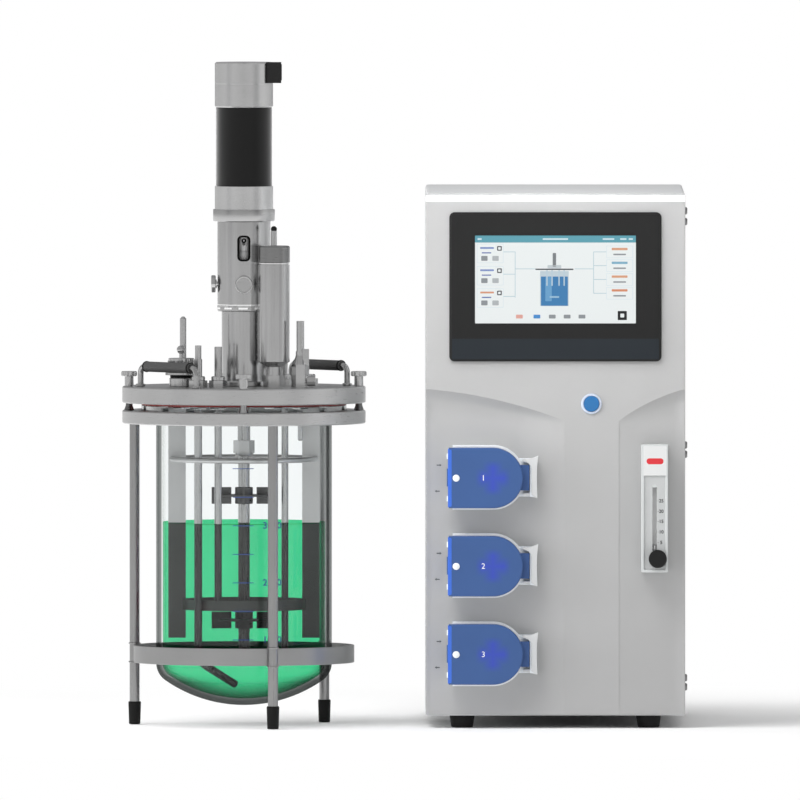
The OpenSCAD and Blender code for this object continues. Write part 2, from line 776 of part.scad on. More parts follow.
module condenser_plug() {
    color("black") at_port(condenser_at) translate([0, 0, condenser_top_z + nipple_h]) rotate_extrude()
        intersection() {
            union() {
                translate([0, 1.6]) circle(2.9, $fn = 32);
                square([2.2, 2]);
            }
            square([4, 5]);
        }
}

// Level probe: a hexagon body with a side plug and a latch block, and a rod down into the head space
module foam_probe() {
    body_af = 14.5;
    body_h = 21.5;
    cone_r = 7.2;
    neck_r = 4.4;
    cone_h = 9;
    neck_h = 5;
    pin_r = 3.7;
    pin_top = 62.5;
    latch = [6.2, 10, 15];
    side_plug_r = 5;
    side_plug_l = 8;
    rod_r = 2.5;
    rod_l = 35;
    color("silver") at_port(foam_at) translate([0, 0, plate_top_z]) union() {
        hexagon(body_af, body_h);
        translate([0, 0, 1 - plate_t]) cylinder(d = port_d, h = plate_t);
        translate([0, 0, body_h - 0.5]) {
            cylinder(r1 = cone_r, r2 = neck_r, h = cone_h);
            translate([2, -latch[1] / 2, 0]) cube(latch);
            translate([0, 0, cone_h - cut]) cylinder(r = neck_r, h = neck_h);
        }
        translate([0, 0, body_h + cone_h]) cylinder(r = pin_r, h = pin_top - body_h - cone_h);
        translate([0, 0, -plate_t - rod_l]) disc(rod_r, rod_l + 2, 1);
        translate([6, 0, 6]) rotate([0, 90, 0]) cylinder(r = side_plug_r, h = side_plug_l);
    }
}

// Sampling valve: a knurled drum over a grooved base, with an upright needle guard and a ball tip
sampler_groove_r = 9.5;
module sampler() {
    base_r = 11.6;
    base_h = 8.2;
    groove_h = 5;
    rim_r = 15.4;
    rim_z = 11;
    drum_r = 12.4;
    drum_z = 13.2;
    drum_top = 27;
    guard_at = [1.6, 2];
    guard_r = 3.1;
    guard_h = 38;
    guard_tip_r = 1.2;
    guard_tip_h = 2.2;
    ball_at = [-0.4, -5.6];
    ball_r = 4;
    ball_stem_r = 1.7;
    ball_z = 8;
    color("silver") at_port(sampler_at) translate([0, 0, plate_top_z]) union() {
        disc(base_r, base_h, 0.6);
        translate([0, 0, 1 - plate_t]) cylinder(d = port_d, h = plate_t);
        translate([0, 0, base_h - cut]) cylinder(r = sampler_groove_r, h = groove_h);
        translate([0, 0, rim_z]) disc(rim_r, drum_z - rim_z, 0.5);
        translate([0, 0, drum_z - 0.5]) disc(drum_r, drum_top - drum_z + 0.5, 0.8);
        translate([guard_at[0], guard_at[1], drum_top - cut]) cylinder(r = guard_r, h = guard_h);
        translate([guard_at[0], guard_at[1], drum_top + guard_h - cut])
            cylinder(r1 = guard_r, r2 = guard_tip_r, h = guard_tip_h);
        translate([ball_at[0], ball_at[1], drum_top - cut]) cylinder(r = ball_stem_r, h = ball_z);
        translate([ball_at[0], ball_at[1], drum_top + ball_z]) sphere(r = ball_r);
    }
}

// ---------- control cabinet ----------

// A slab that faces -y with a bevel on its front edges: front face on y = 0, middle at the origin
module bevel_slab(w, h, t, r, bevel) {
    intersection() {
        slab(t) round_rect(w, h, r);
        rotate([90, 0, 90]) linear_extrude(w, center = true) polygon([
            [0, bevel - h / 2], [bevel, -h / 2], [t, -h / 2],
            [t, h / 2], [bevel, h / 2], [0, h / 2 - bevel]
        ]);
        linear_extrude(h, center = true) polygon([
            [bevel - w / 2, 0], [w / 2 - bevel, 0], [w / 2, bevel],
            [w / 2, t], [-w / 2, t], [-w / 2, bevel]
        ]);
    }
}

screw_r = 1.5;
screw_inset = 11;
screw_ys = [shell_y + screw_inset, cabinet_rear - screw_inset];
screw_zs = [for (i = [-1, 0, 1]) shell_mid_z + i * (panel_h / 2 - 24)];
foot_places = [for (x = [-1, 1] * (cabinet_w / 2 - 34.5), y = [shell_y + 16, cabinet_rear - 16]) [x, y]];
foot_stud_r = 2.5;
module cabinet_shell() {
    bend_r = 3;
    louvre_w = 3;
    louvre_h = 46;
    louvre_n = 12;
    louvre_pitch = 12;
    louvre_y = 150;
    louvre_zs = [70, 360];
    shell_h = cabinet_top - shell_bottom;
    color("gainsboro") at_cabinet() difference() {
        translate([0, shell_y, shell_mid_z]) slab(shell_d) difference() {
            round_rect(cabinet_w, shell_h, bend_r);
            round_rect(cabinet_w - 2 * sheet_t, shell_h - 2 * sheet_t, bend_r - sheet_t);
        }
        for (y = screw_ys, z = screw_zs) {
            translate([-cabinet_w / 2 - cut, y, z])
                rotate([0, 90, 0]) cylinder(r = screw_r + seat_gap, h = cabinet_w + 2 * cut);
            translate([-cabinet_w / 2, y, z]) rotate([0, 90, 0]) flush_head(flush_head_r + seat_gap);
        }
        for (p = foot_places) translate([p[0], p[1], shell_bottom - cut])
            cylinder(r = foot_stud_r + seat_gap, h = sheet_t + 2 * cut);
        for (i = [0:louvre_n - 1], z = louvre_zs)
            translate([-cabinet_w / 2 - cut, louvre_y + i * louvre_pitch, z])
                cube([cabinet_w + 2 * cut, louvre_w, louvre_h]);
    }
}

// Middle of the arc of radius r from point a to point b that bulges upwards
function arc_middle(a, b, r) = let (d = (b - a) / norm(b - a))
    (a + b) / 2 + [d[1], -d[0]] * sqrt(r * r - pow(norm(b - a) / 2, 2));

// Outline of the front panel's raised part: the whole top, and a column down its middle
column_left = 8.2;
column_right = 59.9;
sweep_edge_z = 319.8;
sweep_column_z = 289.8;
sweep_left_r = 459;
sweep_right_r = 185;
module raised_outline() {
    half_w = panel_w / 2;
    low_left = [-half_w, sweep_edge_z];
    low_right = [half_w, sweep_edge_z];
    foot_left = [column_left, sweep_column_z];
    foot_right = [column_right, sweep_column_z];
    difference() {
        translate([-half_w, panel_bottom]) square([panel_w, panel_h]);
        intersection() {
            translate(arc_middle(low_left, foot_left, sweep_left_r)) circle(sweep_left_r, $fn = 180);
            translate([-half_w - cut, panel_bottom - cut])
                square([half_w + cut + column_left, panel_h]);
        }
        intersection() {
            translate(arc_middle(foot_right, low_right, sweep_right_r)) circle(sweep_right_r, $fn = 180);
            translate([column_right, panel_bottom - cut])
                square([half_w + cut - column_right, panel_h]);
        }
    }
}

flange_l = 22;
flange_sheet = 2;
// Side flanges of a panel, folded back along y from y = 0
// Countersunk head of the screws on the left side, flush with the sheet
flush_head_r = 3.4;
module flush_head(r) {
    flush_h = 1.8;
    cylinder(r1 = r, r2 = r - flush_h, h = flush_h);
}
module side_flanges(l) {
    for (side = [0, 1]) mirror([side, 0, 0]) translate([panel_w / 2 - flange_sheet, 0, panel_bottom + 8])
        cube([flange_sheet, l, panel_h - 16]);
}
module panel_screw_holes(y) {
    for (z = screw_zs) translate([-panel_w / 2 - cut, y, z]) rotate([0, 90, 0])
        cylinder(r = screw_r + seat_gap, h = panel_w + 2 * cut);
}

bezel_body_w = bezel_w - 14;
bezel_body_h = bezel_h - 14;
barrel_r = 8.7;
gas_spigot_r = 5;
gas_spigot_zs = [flow_mid_z - flow_h / 2 + 12, flow_mid_z + flow_h / 2 - 12];
pump_shaft_r = 3;
module front_panel() {
    top_bevel = 5.8;
    low_bevel = 1.5;
    color("gainsboro") at_cabinet() difference() {
        union() {
            translate([0, relief, panel_bottom + panel_h / 2]) slab(skin_t) square([panel_w, panel_h], center = true);
            slab(relief + 1) raised_outline();
            translate([0, skin_rear - 1, 0]) side_flanges(flange_l);
        }
        translate([0, 0, panel_top]) rotate([45, 0, 0]) cube([cabinet_w, top_bevel * sqrt(2), top_bevel * sqrt(2)], center = true);
        translate([0, 0, panel_bottom]) rotate([45, 0, 0]) cube([cabinet_w, low_bevel * sqrt(2), low_bevel * sqrt(2)], center = true);
        translate([0, -cut, bezel_z]) slab(skin_rear + 2 * cut)
            round_rect(bezel_body_w + 2 * seat_gap, bezel_body_h + 2 * seat_gap, 3);
        translate([button_at[0], -cut, button_at[1]]) bar_y(barrel_r + seat_gap, skin_rear + 2 * cut);
        for (z = pump_levels) translate([pump_x, 0, z]) bar_y(pump_shaft_r + 2, skin_rear + cut);
        for (z = gas_spigot_zs) translate([flow_x, 0, z]) bar_y(gas_spigot_r + seat_gap, skin_rear + cut);
        panel_screw_holes(screw_ys[0]);
    }
}

// Inlet, switch and hose fittings in the rear panel; x from the cabinet's middle, z from the bench
inlet_at = [cabinet_w / 2 - 44.5, 62];
inlet_w = 28;
inlet_h = 24;
switch_at = [inlet_at[0], 102];
switch_w = 21;
switch_h = 28;
hose_places = [for (z = [300, 340, 380]) [38.5 - cabinet_w / 2, z]];
hose_shank_r = 5;
rear_skin_y = cabinet_rear - skin_t;
module rear_panel() {
    vent_w = 3;
    vent_h = 60;
    vent_n = 14;
    vent_pitch = 8;
    vent_x = -10;
    vent_zs = [130, 210];
    color("gainsboro") at_cabinet() difference() {
        union() {
            translate([0, rear_skin_y, panel_bottom + panel_h / 2]) slab(skin_t) square([panel_w, panel_h], center = true);
            translate([0, rear_skin_y + 1 - flange_l, 0]) side_flanges(flange_l);
        }
        for (i = [0:vent_n - 1], z = vent_zs)
            translate([vent_x + i * vent_pitch, rear_skin_y - cut, z])
                cube([vent_w, skin_t + 2 * cut, vent_h]);
        translate([inlet_at[0], rear_skin_y - cut, inlet_at[1]]) slab(skin_t + 2 * cut)
            square([inlet_w + 2 * seat_gap, inlet_h + 2 * seat_gap], center = true);
        translate([switch_at[0], rear_skin_y - cut, switch_at[1]]) slab(skin_t + 2 * cut)
            square([switch_w + 2 * seat_gap, switch_h + 2 * seat_gap], center = true);
        for (p = hose_places) translate([p[0], rear_skin_y - cut, p[1]])
            bar_y(hose_shank_r + seat_gap, skin_t + 2 * cut);
        panel_screw_holes(screw_ys[1]);
    }
}

module cabinet_feet() {
    top_r = 12;
    low_r = 10.3;
    color("#303030") at_cabinet() for (p = foot_places) translate([p[0], p[1], 0]) union() {
        rotate_extrude() polygon([
            [0, 0], [low_r - 0.8, 0], [low_r, 0.8], [top_r, foot_h], [0, foot_h]
        ]);
        translate([0, 0, foot_h - 1]) cylinder(r = foot_stud_r, h = sheet_t + 1);
    }
}

// Screws in the shell's sides, proud on the right and flush on the left, and barbed hose ends behind
module panel_hardware() {
    head_r = 3.5;
    shank_l = sheet_t + panel_gap + flange_sheet + 1.5;
    key_af = 2.5;
    key_depth = 1.2;
    barb_r = 3.2;
    color("silver") at_cabinet() {
        for (y = screw_ys, z = screw_zs) {
            translate([cabinet_w / 2, y, z]) rotate([0, 90, 0]) difference() {
                union() {
                    rotate_extrude() polygon([
                        [0, 0], [head_r, 0], [head_r, 1], [head_r - 1, screw_head_h], [0, screw_head_h]
                    ]);
                    translate([0, 0, -shank_l]) cylinder(r = screw_r, h = shank_l + cut);
                }
                translate([0, 0, screw_head_h - key_depth]) hexagon(key_af, key_depth + cut);
            }
            translate([-cabinet_w / 2, y, z]) rotate([0, 90, 0]) difference() {
                union() {
                    flush_head(flush_head_r);
                    translate([0, 0, cut]) cylinder(r = screw_r, h = shank_l - cut);
                }
                translate([0, 0, -cut]) hexagon(key_af, key_depth + cut);
            }
        }
        for (p = hose_places) translate([p[0], rear_skin_y, p[1]]) rotate([-90, 0, 0]) difference() {
            union() {
                translate([0, 0, -6]) cylinder(r = hose_shank_r, h = 6 + skin_t + 1);
                translate([0, 0, -4.5]) hexagon(14, 4.5);
                translate([0, 0, skin_t]) hexagon(14, 5);
                translate([0, 0, skin_t + 4]) cylinder(r = barb_r - 0.7, h = rear_reach - 4);
                for (z = [5.5, 9, 12.5]) translate([0, 0, skin_t + z]) cylinder(r1 = barb_r, r2 = barb_r - 0.7, h = rear_reach / 6);
            }
            translate([0, 0, -7]) cylinder(r = 1.5, h = skin_t + rear_reach + 8);
        }
    }
}

screen_recess = 1.2;
bezel_t = 5;
module screen_bezel() {
    body_d = 34;
    color("#2f2f2f") at_cabinet() translate([0, 0, bezel_z]) difference() {
        union() {
            translate([0, -bezel_t, 0]) bevel_slab(bezel_w, bezel_h, bezel_t, 5, 2.2);
            translate([0, -1, 0]) slab(body_d) round_rect(bezel_body_w, bezel_body_h, 3);
        }
        translate([0, -bezel_t - cut, screen_dz]) slab(screen_recess + cut)
            square([screen_w + 2 * seat_gap, screen_h + 2 * seat_gap], center = true);
    }
}
screen_dz = 7;

module screen_glass() {
    color("#eef3f3") at_cabinet() translate([0, screen_recess - 1 - bezel_t, bezel_z + screen_dz])
        slab(1) square([screen_w, screen_h], center = true);
}

barrel_l = 22;
button_t = 13;
module button_bezel() {
    color("silver") at_cabinet() translate([button_at[0], 0, button_at[1]]) rotate([-90, 0, 0]) difference() {
        union() {
            translate([0, 0, -2]) disc(button_d / 2 + 2.3, 2, 0.7);
            translate([0, 0, -1]) cylinder(r = barrel_r, h = barrel_l + 1);
            translate([0, 0, skin_rear]) hexagon(2 * barrel_r + 4, 4);
        }
        translate([0, 0, -2 - cut]) cylinder(r = button_d / 2 + loose_gap, h = barrel_l + cut);
    }
}

module power_button() {
    stand_off = button_travel + 0.8;
    color("#3f7fb8") at_cabinet() translate([button_at[0], -stand_off, button_at[1]]) rotate([-90, 0, 0])
        disc(button_d / 2, button_t, 0.8);
}

// A pump stands on the recessed face: its own frame has x, z from the shaft and h off that face
module at_pump(i) { at_cabinet() translate([pump_x, relief, pump_levels[i]]) children(); }
// A layer of the pump between heights low and high off the recessed face
module pump_layer(low, high) { translate([0, -high, 0]) slab(high - low) children(); }
// Round end to the right of the shaft, square end to the left
module d_outline(r, left) {
    union() {
        circle(r);
        translate([-left, -r]) square([left, 2 * r]);
    }
}

base_h = 12;
base_left = 38;
track_out_r = 24;
track_in_r = 21.2;
hinge_at = [-40.5, 9.2];
hinge_pin_r = 1.6;
hinge_r = 3;
lug_low = 17.5;
lug_high = 22.5;
slot_z = 12.3;
cover_low = base_h + 0.4;
cover_left = 41.6;
cover_top_t = 2.5;
cover_tab_x = 34.5;
cover_tab_z = 12;
barrel_half = 8.4;
module pump_housing() {
    track_h = 24;
    post_x = 31;
    difference() {
        union() {
            pump_layer(0, base_h) d_outline(cover_r + 2, base_left);
            pump_layer(base_h - 1, track_h) intersection() {
                difference() {
                    circle(track_out_r);
                    circle(track_in_r);
                }
                translate([0, -cover_r]) square([cover_r, 2 * cover_r]);
            }
            pump_layer(base_h - 1, track_h) difference() {
                translate([-base_left, -20]) square([base_left - post_x, 40]);
                for (z = [-slot_z, slot_z]) translate([-base_left - cut, z - tube_slot / 2])
                    square([base_left, tube_slot]);
            }
            for (side = [0, 1]) mirror([0, 0, side]) translate([0, 0, lug_low]) {
                translate([hinge_at[0], -hinge_at[1], 0]) cylinder(r = hinge_r, h = lug_high - lug_low);
                translate([hinge_at[0], -hinge_at[1], 0]) cube([6, hinge_at[1], lug_high - lug_low]);
            }
            translate([hinge_at[0], -hinge_at[1], -lug_low - cut])
                cylinder(r = hinge_pin_r, h = 2 * lug_low + 2 * cut);
            pump_layer(0, 9) translate([20, -18]) square([cover_tab_x + 1 - 20, 36]);
            pump_layer(0, 16) translate([cover_tab_x + 0.5, -18]) square([6, 36]);
        }
        translate([0, -cover_h, 0]) bar_y(pump_shaft_r + loose_gap, cover_h + cut);
        difference() {
            translate([hinge_at[0], -hinge_at[1], -barrel_half - loose_gap])
                cylinder(r = hinge_r + 0.4, h = 2 * (barrel_half + loose_gap));
            translate([hinge_at[0], -hinge_at[1], -lug_low]) cylinder(r = hinge_pin_r, h = 2 * lug_low);
        }
    }
}
module pump_housings() { color("whitesmoke") for (i = [0:2]) at_pump(i) pump_housing(); }

module pump_cover(i) {
    color("#4a64a0") at_pump(i) difference() {
        union() {
            difference() {
                pump_layer(cover_low, cover_h) d_outline(cover_r, cover_left);
                pump_layer(cover_low - cut, cover_h - cover_top_t)
                    d_outline(cover_r - cover_wall, cover_left - cover_wall);
                for (z = [-slot_z, slot_z]) pump_layer(cover_low - cut, cover_low + tube_slot)
                    translate([-cover_left - cut, z - tube_slot / 2 - seat_gap])
                        square([cover_wall + 2 * cut, tube_slot + 2 * seat_gap]);
            }
            pump_layer(cover_low, cover_low + 5.6) difference() {
                translate([cover_r - 6, -cover_tab_z]) square([cover_tab_x - cover_r + 6, 2 * cover_tab_z]);
                circle(cover_r - cover_wall + 0.5);
            }
            translate([hinge_at[0], -hinge_at[1], -barrel_half]) cylinder(r = hinge_r, h = 2 * barrel_half);
            translate([-cover_left, -cover_low - 1, -barrel_half])
                cube([cover_wall, cover_low + 1 - hinge_at[1], 2 * barrel_half]);
        }
        translate([hinge_at[0], -hinge_at[1], -barrel_half - cut])
            cylinder(r = hinge_pin_r + run_gap, h = 2 * (barrel_half + cut));
    }
}
module pump_cover_1() { pump_cover(0); }
module pump_cover_2() { pump_cover(1); }
module pump_cover_3() { pump_cover(2); }

// Cross-shaped carrier with a roller at each end, on a shaft that runs back into the motor
motor_bore_l = 12;
module pump_rotor(i) {
    roller_r = 4;
    roller_at = rotor_r - roller_r;
    arm_t = 2;
    low = base_h + 1.5;
    high = cover_h - cover_top_t - 1;
    color("white") at_pump(i) union() {
        for (h = [low, high - arm_t]) pump_layer(h, h + arm_t) for (a = [0, 90]) rotate(a)
            round_rect(2 * (roller_at + roller_r - 0.6), 7, 3.2);
        pump_layer(low, high) circle(5.5);
        for (a = clamp_angles) rotate([0, a, 0]) translate([roller_at, arm_t - high, 0])
            bar_y(roller_r, high - low - 2 * arm_t);
        translate([0, -high + 1, 0]) bar_y(pump_shaft_r, high + skin_t + motor_bore_l - 2);
    }
}
module pump_rotor_1() { pump_rotor(0); }
module pump_rotor_2() { pump_rotor(1); }
module pump_rotor_3() { pump_rotor(2); }

module pump_motors() {
    gearbox_r = 18.5;
    gearbox_l = 24;
    can_r = 14;
    can_l = 32;
    color("dimgray") for (i = [0:2]) at_pump(i) translate([0, skin_t, 0]) rotate([-90, 0, 0]) difference() {
        union() {
            disc(gearbox_r, gearbox_l, 0.8);
            translate([0, 0, gearbox_l - 1]) disc(can_r, can_l, 1.5);
        }
        translate([0, 0, -cut]) cylinder(r = pump_shaft_r + run_gap, h = motor_bore_l + cut);
    }
}

float_l = 6;
float_low_z = flow_mid_z - flow_h / 2 + 19.6;
flow_bore_l = float_travel + float_l + 2.6;
flow_bore_y = -11;
needle_r = 2.5;
needle_l = 9;
needle_at = [flow_x + 3, flow_mid_z - flow_h / 2 + 13];
module flowmeter_body() {
    window_w = 4;
    color("whitesmoke") at_cabinet() difference() {
        union() {
            translate([flow_x, flow_front, flow_mid_z]) bevel_slab(flow_w, flow_h, flow_t, 0.8, 0.8);
            for (z = gas_spigot_zs) translate([flow_x, relief - 1, z]) bar_y(gas_spigot_r, skin_t + 13);
            for (z = gas_spigot_zs) translate([flow_x, skin_rear, z]) rotate([-90, 0, 0]) hexagon(15, 5);
        }
        translate([flow_x, flow_bore_y, float_low_z]) cylinder(d = flow_bore, h = flow_bore_l);
        translate([flow_x - window_w / 2, flow_front - cut, float_low_z])
            cube([window_w, flow_bore_y - flow_front + cut, flow_bore_l]);
        translate([needle_at[0], flow_front - cut, needle_at[1]]) bar_y(needle_r + run_gap, needle_l + 1 + cut);
        for (z = gas_spigot_zs) translate([flow_x, skin_rear, z]) bar_y(2, 14);
    }
}

module flowmeter_float() {
    color("black") at_cabinet() translate([flow_x, flow_bore_y, float_low_z + loose_gap])
        disc(flow_bore / 2 - loose_gap, float_l, 0.8);
}

module flowmeter_knob() {
    knob_r = 8.5;
    color("#222222") at_cabinet() translate([needle_at[0], 0, needle_at[1]]) union() {
        translate([0, flow_front - loose_gap, 0]) rotate([90, 0, 0]) disc(knob_r, flow_knob_l, 1);
        translate([0, flow_front - 2, 0]) bar_y(needle_r, needle_l + 2);
    }
}

// Caged power supply on the cabinet's floor, with vent holes part way into its top
module power_supply() {
    box = [98, 159, 38];
    place = [-30, 190];
    hole_r = 2;
    hole_depth = 1.5;
    hole_pitch = 13;
    color("lightgray") at_cabinet() translate([place[0], place[1], shell_bottom + sheet_t]) difference() {
        cube(box);
        for (i = [0:9], j = [0:5])
            translate([16 + j * hole_pitch, 18 + i * hole_pitch, box[2] - hole_depth])
                cylinder(r = hole_r, h = 2 * hole_depth, $fn = 24);
    }
}

// Control board on stand-offs on the cabinet's left wall: processor, relay, terminals, capacitors
module control_board() {
    board = [1.6, 120, 160];
    place = [200, 190];
    inset = 8;
    stand_off_r = 3;
    stand_off_h = 8;
    processor = [4, 28, 28];
    relay = [12, 34, 14];
    terminals = [10, 60, 12];
    capacitor_r = 5;
    capacitor_h = 16;
    capacitor_ys = [34, 50, 66];
    wall_x = -cabinet_w / 2 + sheet_t;
    color("seagreen") at_cabinet() translate([wall_x, place[0], place[1]]) union() {
        for (y = [inset, board[1] - inset], z = [inset, board[2] - inset])
            translate([0, y, z]) rotate([0, 90, 0]) cylinder(r = stand_off_r, h = stand_off_h + 0.5);
        translate([stand_off_h, 0, 0]) {
            cube(board);
            translate([1, 24, 30]) cube(processor);
            translate([1, 66, 40]) cube(relay);
            translate([1, 20, 96]) cube(terminals);
            for (y = capacitor_ys) translate([1, y, 130])
                rotate([0, 90, 0]) cylinder(r = capacitor_r, h = capacitor_h);
        }
    }
}

// Mains inlet, and above it the frame that the mains switch's rocker tilts in
frame_in_w = 16.6;
frame_in_h = 24;
rocker_pin_r = 1.5;
module power_inlet() {
    flange_w = inlet_w + 20;
    flange_h = inlet_h + 6;
    flange_t = 3;
    color("#262626") at_cabinet() {
        translate([inlet_at[0], cabinet_rear, inlet_at[1]]) difference() {
            union() {
                slab(flange_t) round_rect(flange_w, flange_h, 3);
                translate([0, -24, 0]) slab(25) square([inlet_w, inlet_h], center = true);
            }
            translate([0, -15, 0]) slab(19) difference() {
                round_rect(inlet_w - 4, inlet_h - 5, 4);
                for (x = [-7, 0, 7]) translate([x, 1.5]) square([2, 4.5], center = true);
            }
            translate([0, -2, 0]) slab(6) square([inlet_w - 10, inlet_h - 12], center = true);
        }
        translate([switch_at[0], cabinet_rear, switch_at[1]]) difference() {
            union() {
                slab(2) round_rect(switch_w + 4, switch_h + 4, 2);
                translate([0, -20, 0]) slab(21) square([switch_w, switch_h], center = true);
            }
            translate([0, -16, 0]) slab(19) square([frame_in_w, frame_in_h], center = true);
            translate([-frame_in_w, -2, 0]) rotate([0, 90, 0]) cylinder(r = rocker_pin_r + run_gap, h = 2 * frame_in_w);
        }
    }
}

rocker_tilt = 10;
module mains_switch() {
    rocker_w = frame_in_w - 2 * loose_gap;
    color("#1c1c1c") at_cabinet() translate([switch_at[0], cabinet_rear - 2, switch_at[1]])
        rotate([rocker_tilt, 0, 0]) rotate([90, 0, 90]) union() {
            linear_extrude(rocker_w, center = true) polygon([
                [-6, -8], [2, -11], [7.5, -10], [5, 0], [7.5, 10], [2, 11], [-6, 8]
            ]);
            cylinder(r = rocker_pin_r, h = switch_w, center = true);
        }
}

glass_vessel();
head_gasket();
head_plate();
support_ring();
legs();
brace_band();
leg_caps();
clamp_studs();
clamp_knob_front();
clamp_knob_right();
clamp_knob_rear();
clamp_knob_left();
handles();
handle_grips();
motor_cap();
motor_case();
motor_base();
motor_connector();
drive_tube();
lock_knob_front();
lock_knob_side();
bearing_housing();
shaft_bearings();
drive_coupling();
stirrer_shaft();
shaft_collar();
impellers();
condenser();
condenser_plug();
baffle_cage();
sparger();
harvest_tube();
thermowell();
foam_probe();
port_nuts();
sampler();
cabinet_shell();
front_panel();
rear_panel();
cabinet_feet();
panel_hardware();
screen_bezel();
screen_glass();
button_bezel();
power_button();
pump_housings();
pump_cover_1();
pump_cover_2();
pump_cover_3();
pump_rotor_1();
pump_rotor_2();
pump_rotor_3();
pump_motors();
flowmeter_body();
flowmeter_float();
flowmeter_knob();
power_supply();
control_board();
power_inlet();
mains_switch();
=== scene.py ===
"""Visual model of a bench bioreactor: a stirred glass vessel in its stand, beside its control cabinet.

Lengths are millimetres in the classes and turn to metres where a mesh is written. The vessel's own
frame has its origin on the bench under the vessel's axis; the cabinet's has x from its middle, y back
from its front plane and z up from the bench.
"""

import logging
import math
from dataclasses import dataclass, field
from enum import Enum
from typing import Sequence

import bpy
from mathutils import Matrix, Vector


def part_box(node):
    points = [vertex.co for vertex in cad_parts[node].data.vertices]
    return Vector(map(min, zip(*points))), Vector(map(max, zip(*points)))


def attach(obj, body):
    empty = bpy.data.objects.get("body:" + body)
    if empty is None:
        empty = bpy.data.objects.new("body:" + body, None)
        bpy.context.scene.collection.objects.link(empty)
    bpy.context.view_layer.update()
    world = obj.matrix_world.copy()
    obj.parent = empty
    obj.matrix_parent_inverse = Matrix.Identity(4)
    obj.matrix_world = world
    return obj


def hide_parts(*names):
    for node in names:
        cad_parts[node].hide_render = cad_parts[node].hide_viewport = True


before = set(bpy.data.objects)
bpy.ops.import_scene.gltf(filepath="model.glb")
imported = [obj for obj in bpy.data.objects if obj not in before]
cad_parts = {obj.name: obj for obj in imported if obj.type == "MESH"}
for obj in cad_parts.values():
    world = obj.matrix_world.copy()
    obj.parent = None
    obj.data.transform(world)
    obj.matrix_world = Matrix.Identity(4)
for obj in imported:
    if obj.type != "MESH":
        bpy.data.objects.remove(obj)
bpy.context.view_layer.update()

LOG = logging.getLogger("bioreactor")
MM = 0.001
BROTH_TOP = 191.5
# Half the height over which the painted shade on steel fades in at the broth's surface
BROTH_SHADE_FADE = 0.3
# Painted shade for steel below the broth's surface: what it keeps of its colour, so that with the green
# broth in front of it a neutral dark grey is left
BROTH_SHADE_TINT = (0.46, 0.146, 0.21, 1.0)
# How far the panel's lower fields, and the pumps' seats in them, lie behind its front plane
RELIEF = 6.0
# Facets in a full turn: of the glass and broth, of the drive's turned parts, and of small ones
FINEST, FINE, SMALL = 128, 96, 32
STAND = "stand"
# Settings that several nodes share
SMOOTH = {"interpolation_type": "SMOOTHSTEP"}
TIMES = {"operation": "MULTIPLY"}
LARGER = {"operation": "MAXIMUM"}
COLOURS = {"data_type": "RGBA"}
CLEAR = (1.0, 1.0, 1.0, 1.0)
Point = tuple[float, float]
Vec3 = tuple[float, float, float]
Vec4 = tuple[float, float, float, float]
Socket = bpy.types.NodeSocket
Tree = bpy.types.NodeTree


# ---------------------------------------------------------------- colours and nodes


def linear(code: str, scale: float = 1.0) -> Vec4:
    """Turns an sRGB hex colour into linear light.

    Args:
        code: Six hex digits after a hash.
        scale: What the linear values are multiplied by.

    Returns:
        Red, green, blue and an alpha of one.
    """
    parts = [int(code[i : i + 2], 16) / 255 for i in (1, 3, 5)]
    light = [p / 12.92 if p <= 0.04045 else ((p + 0.055) / 1.055) ** 2.4 for p in parts]
    return (*(min(1.0, p * scale) for p in light), 1.0)


def add(tree: Tree, kind: str, settings: dict | None = None, **inputs: object) -> bpy.types.Node:
    """Adds one shader node with its settings and links.

    Args:
        tree: The node tree.
        kind: The node's type name after "ShaderNode".
        settings: Attributes set on the node; "stops" are a colour ramp's positions and colours.
        **inputs: Socket names with underscores for spaces, or i0, i1 for a place; values or sockets.

    Returns:
        The new node.
    """
    node = tree.nodes.new("ShaderNode" + kind)
    for key, value in (settings or {}).items():
        if key == "stops":
            band = node.color_ramp.elements
            band[0].position, band[0].color = value[0]
            band[1].position, band[1].color = value[-1]
            for place, colour in value[1:-1]:
                band.new(place).color = colour
        else:
            setattr(node, key, value)
    for key, value in inputs.items():
        place = int(key[1:]) if key[0] == "i" and key[1:].isdigit() else key.replace("_", " ")
        if isinstance(value, Socket):
            tree.links.new(value, node.inputs[place])
        else:
            node.inputs[place].default_value = value
    return node


def middle(node: str) -> Point:
    """The middle of a CAD node's plan, in millimetres.

    Args:
        node: The node's name.

    Returns:
        X and y.
    """
    low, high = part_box(node)
    return ((low[0] + high[0]) / 2 / MM, (low[1] + high[1]) / 2 / MM)


class Marks(Enum):
    """Which way the fine marks of a surface run: a mark's size in millimetres on X, Y and Z.

    Real tool marks lie some hundredths of a millimetre apart, too fine to show, so these are drawn as
    coarse as they need to be.
    """

    TURNED = (11.1111, 11.1111, 0.66667)
    UPRIGHT = (0.90909, 0.90909, 40.0)
    EVEN = (1.11111, 1.11111, 1.11111)


def pattern(tree: Tree, cell_mm: Vec3, detail: float = 2.0) -> Socket:
    """A pattern fixed to the object, with cells of a real size.

    Args:
        tree: The node tree.
        cell_mm: Size of a cell on X, Y and Z, in millimetres.
        detail: Octaves of finer cells.

    Returns:
        The pattern, from 0 to 1.
    """
    place = add(tree, "TexCoord").outputs["Object"]
    cells = tuple(1 / (size * MM) for size in cell_mm)
    stretched = add(tree, "Mapping", Vector=place, Scale=cells).outputs[0]
    return add(tree, "TexNoise", Vector=stretched, Scale=1.0, Detail=detail).outputs["Fac"]


# ---------------------------------------------------------------- finishes


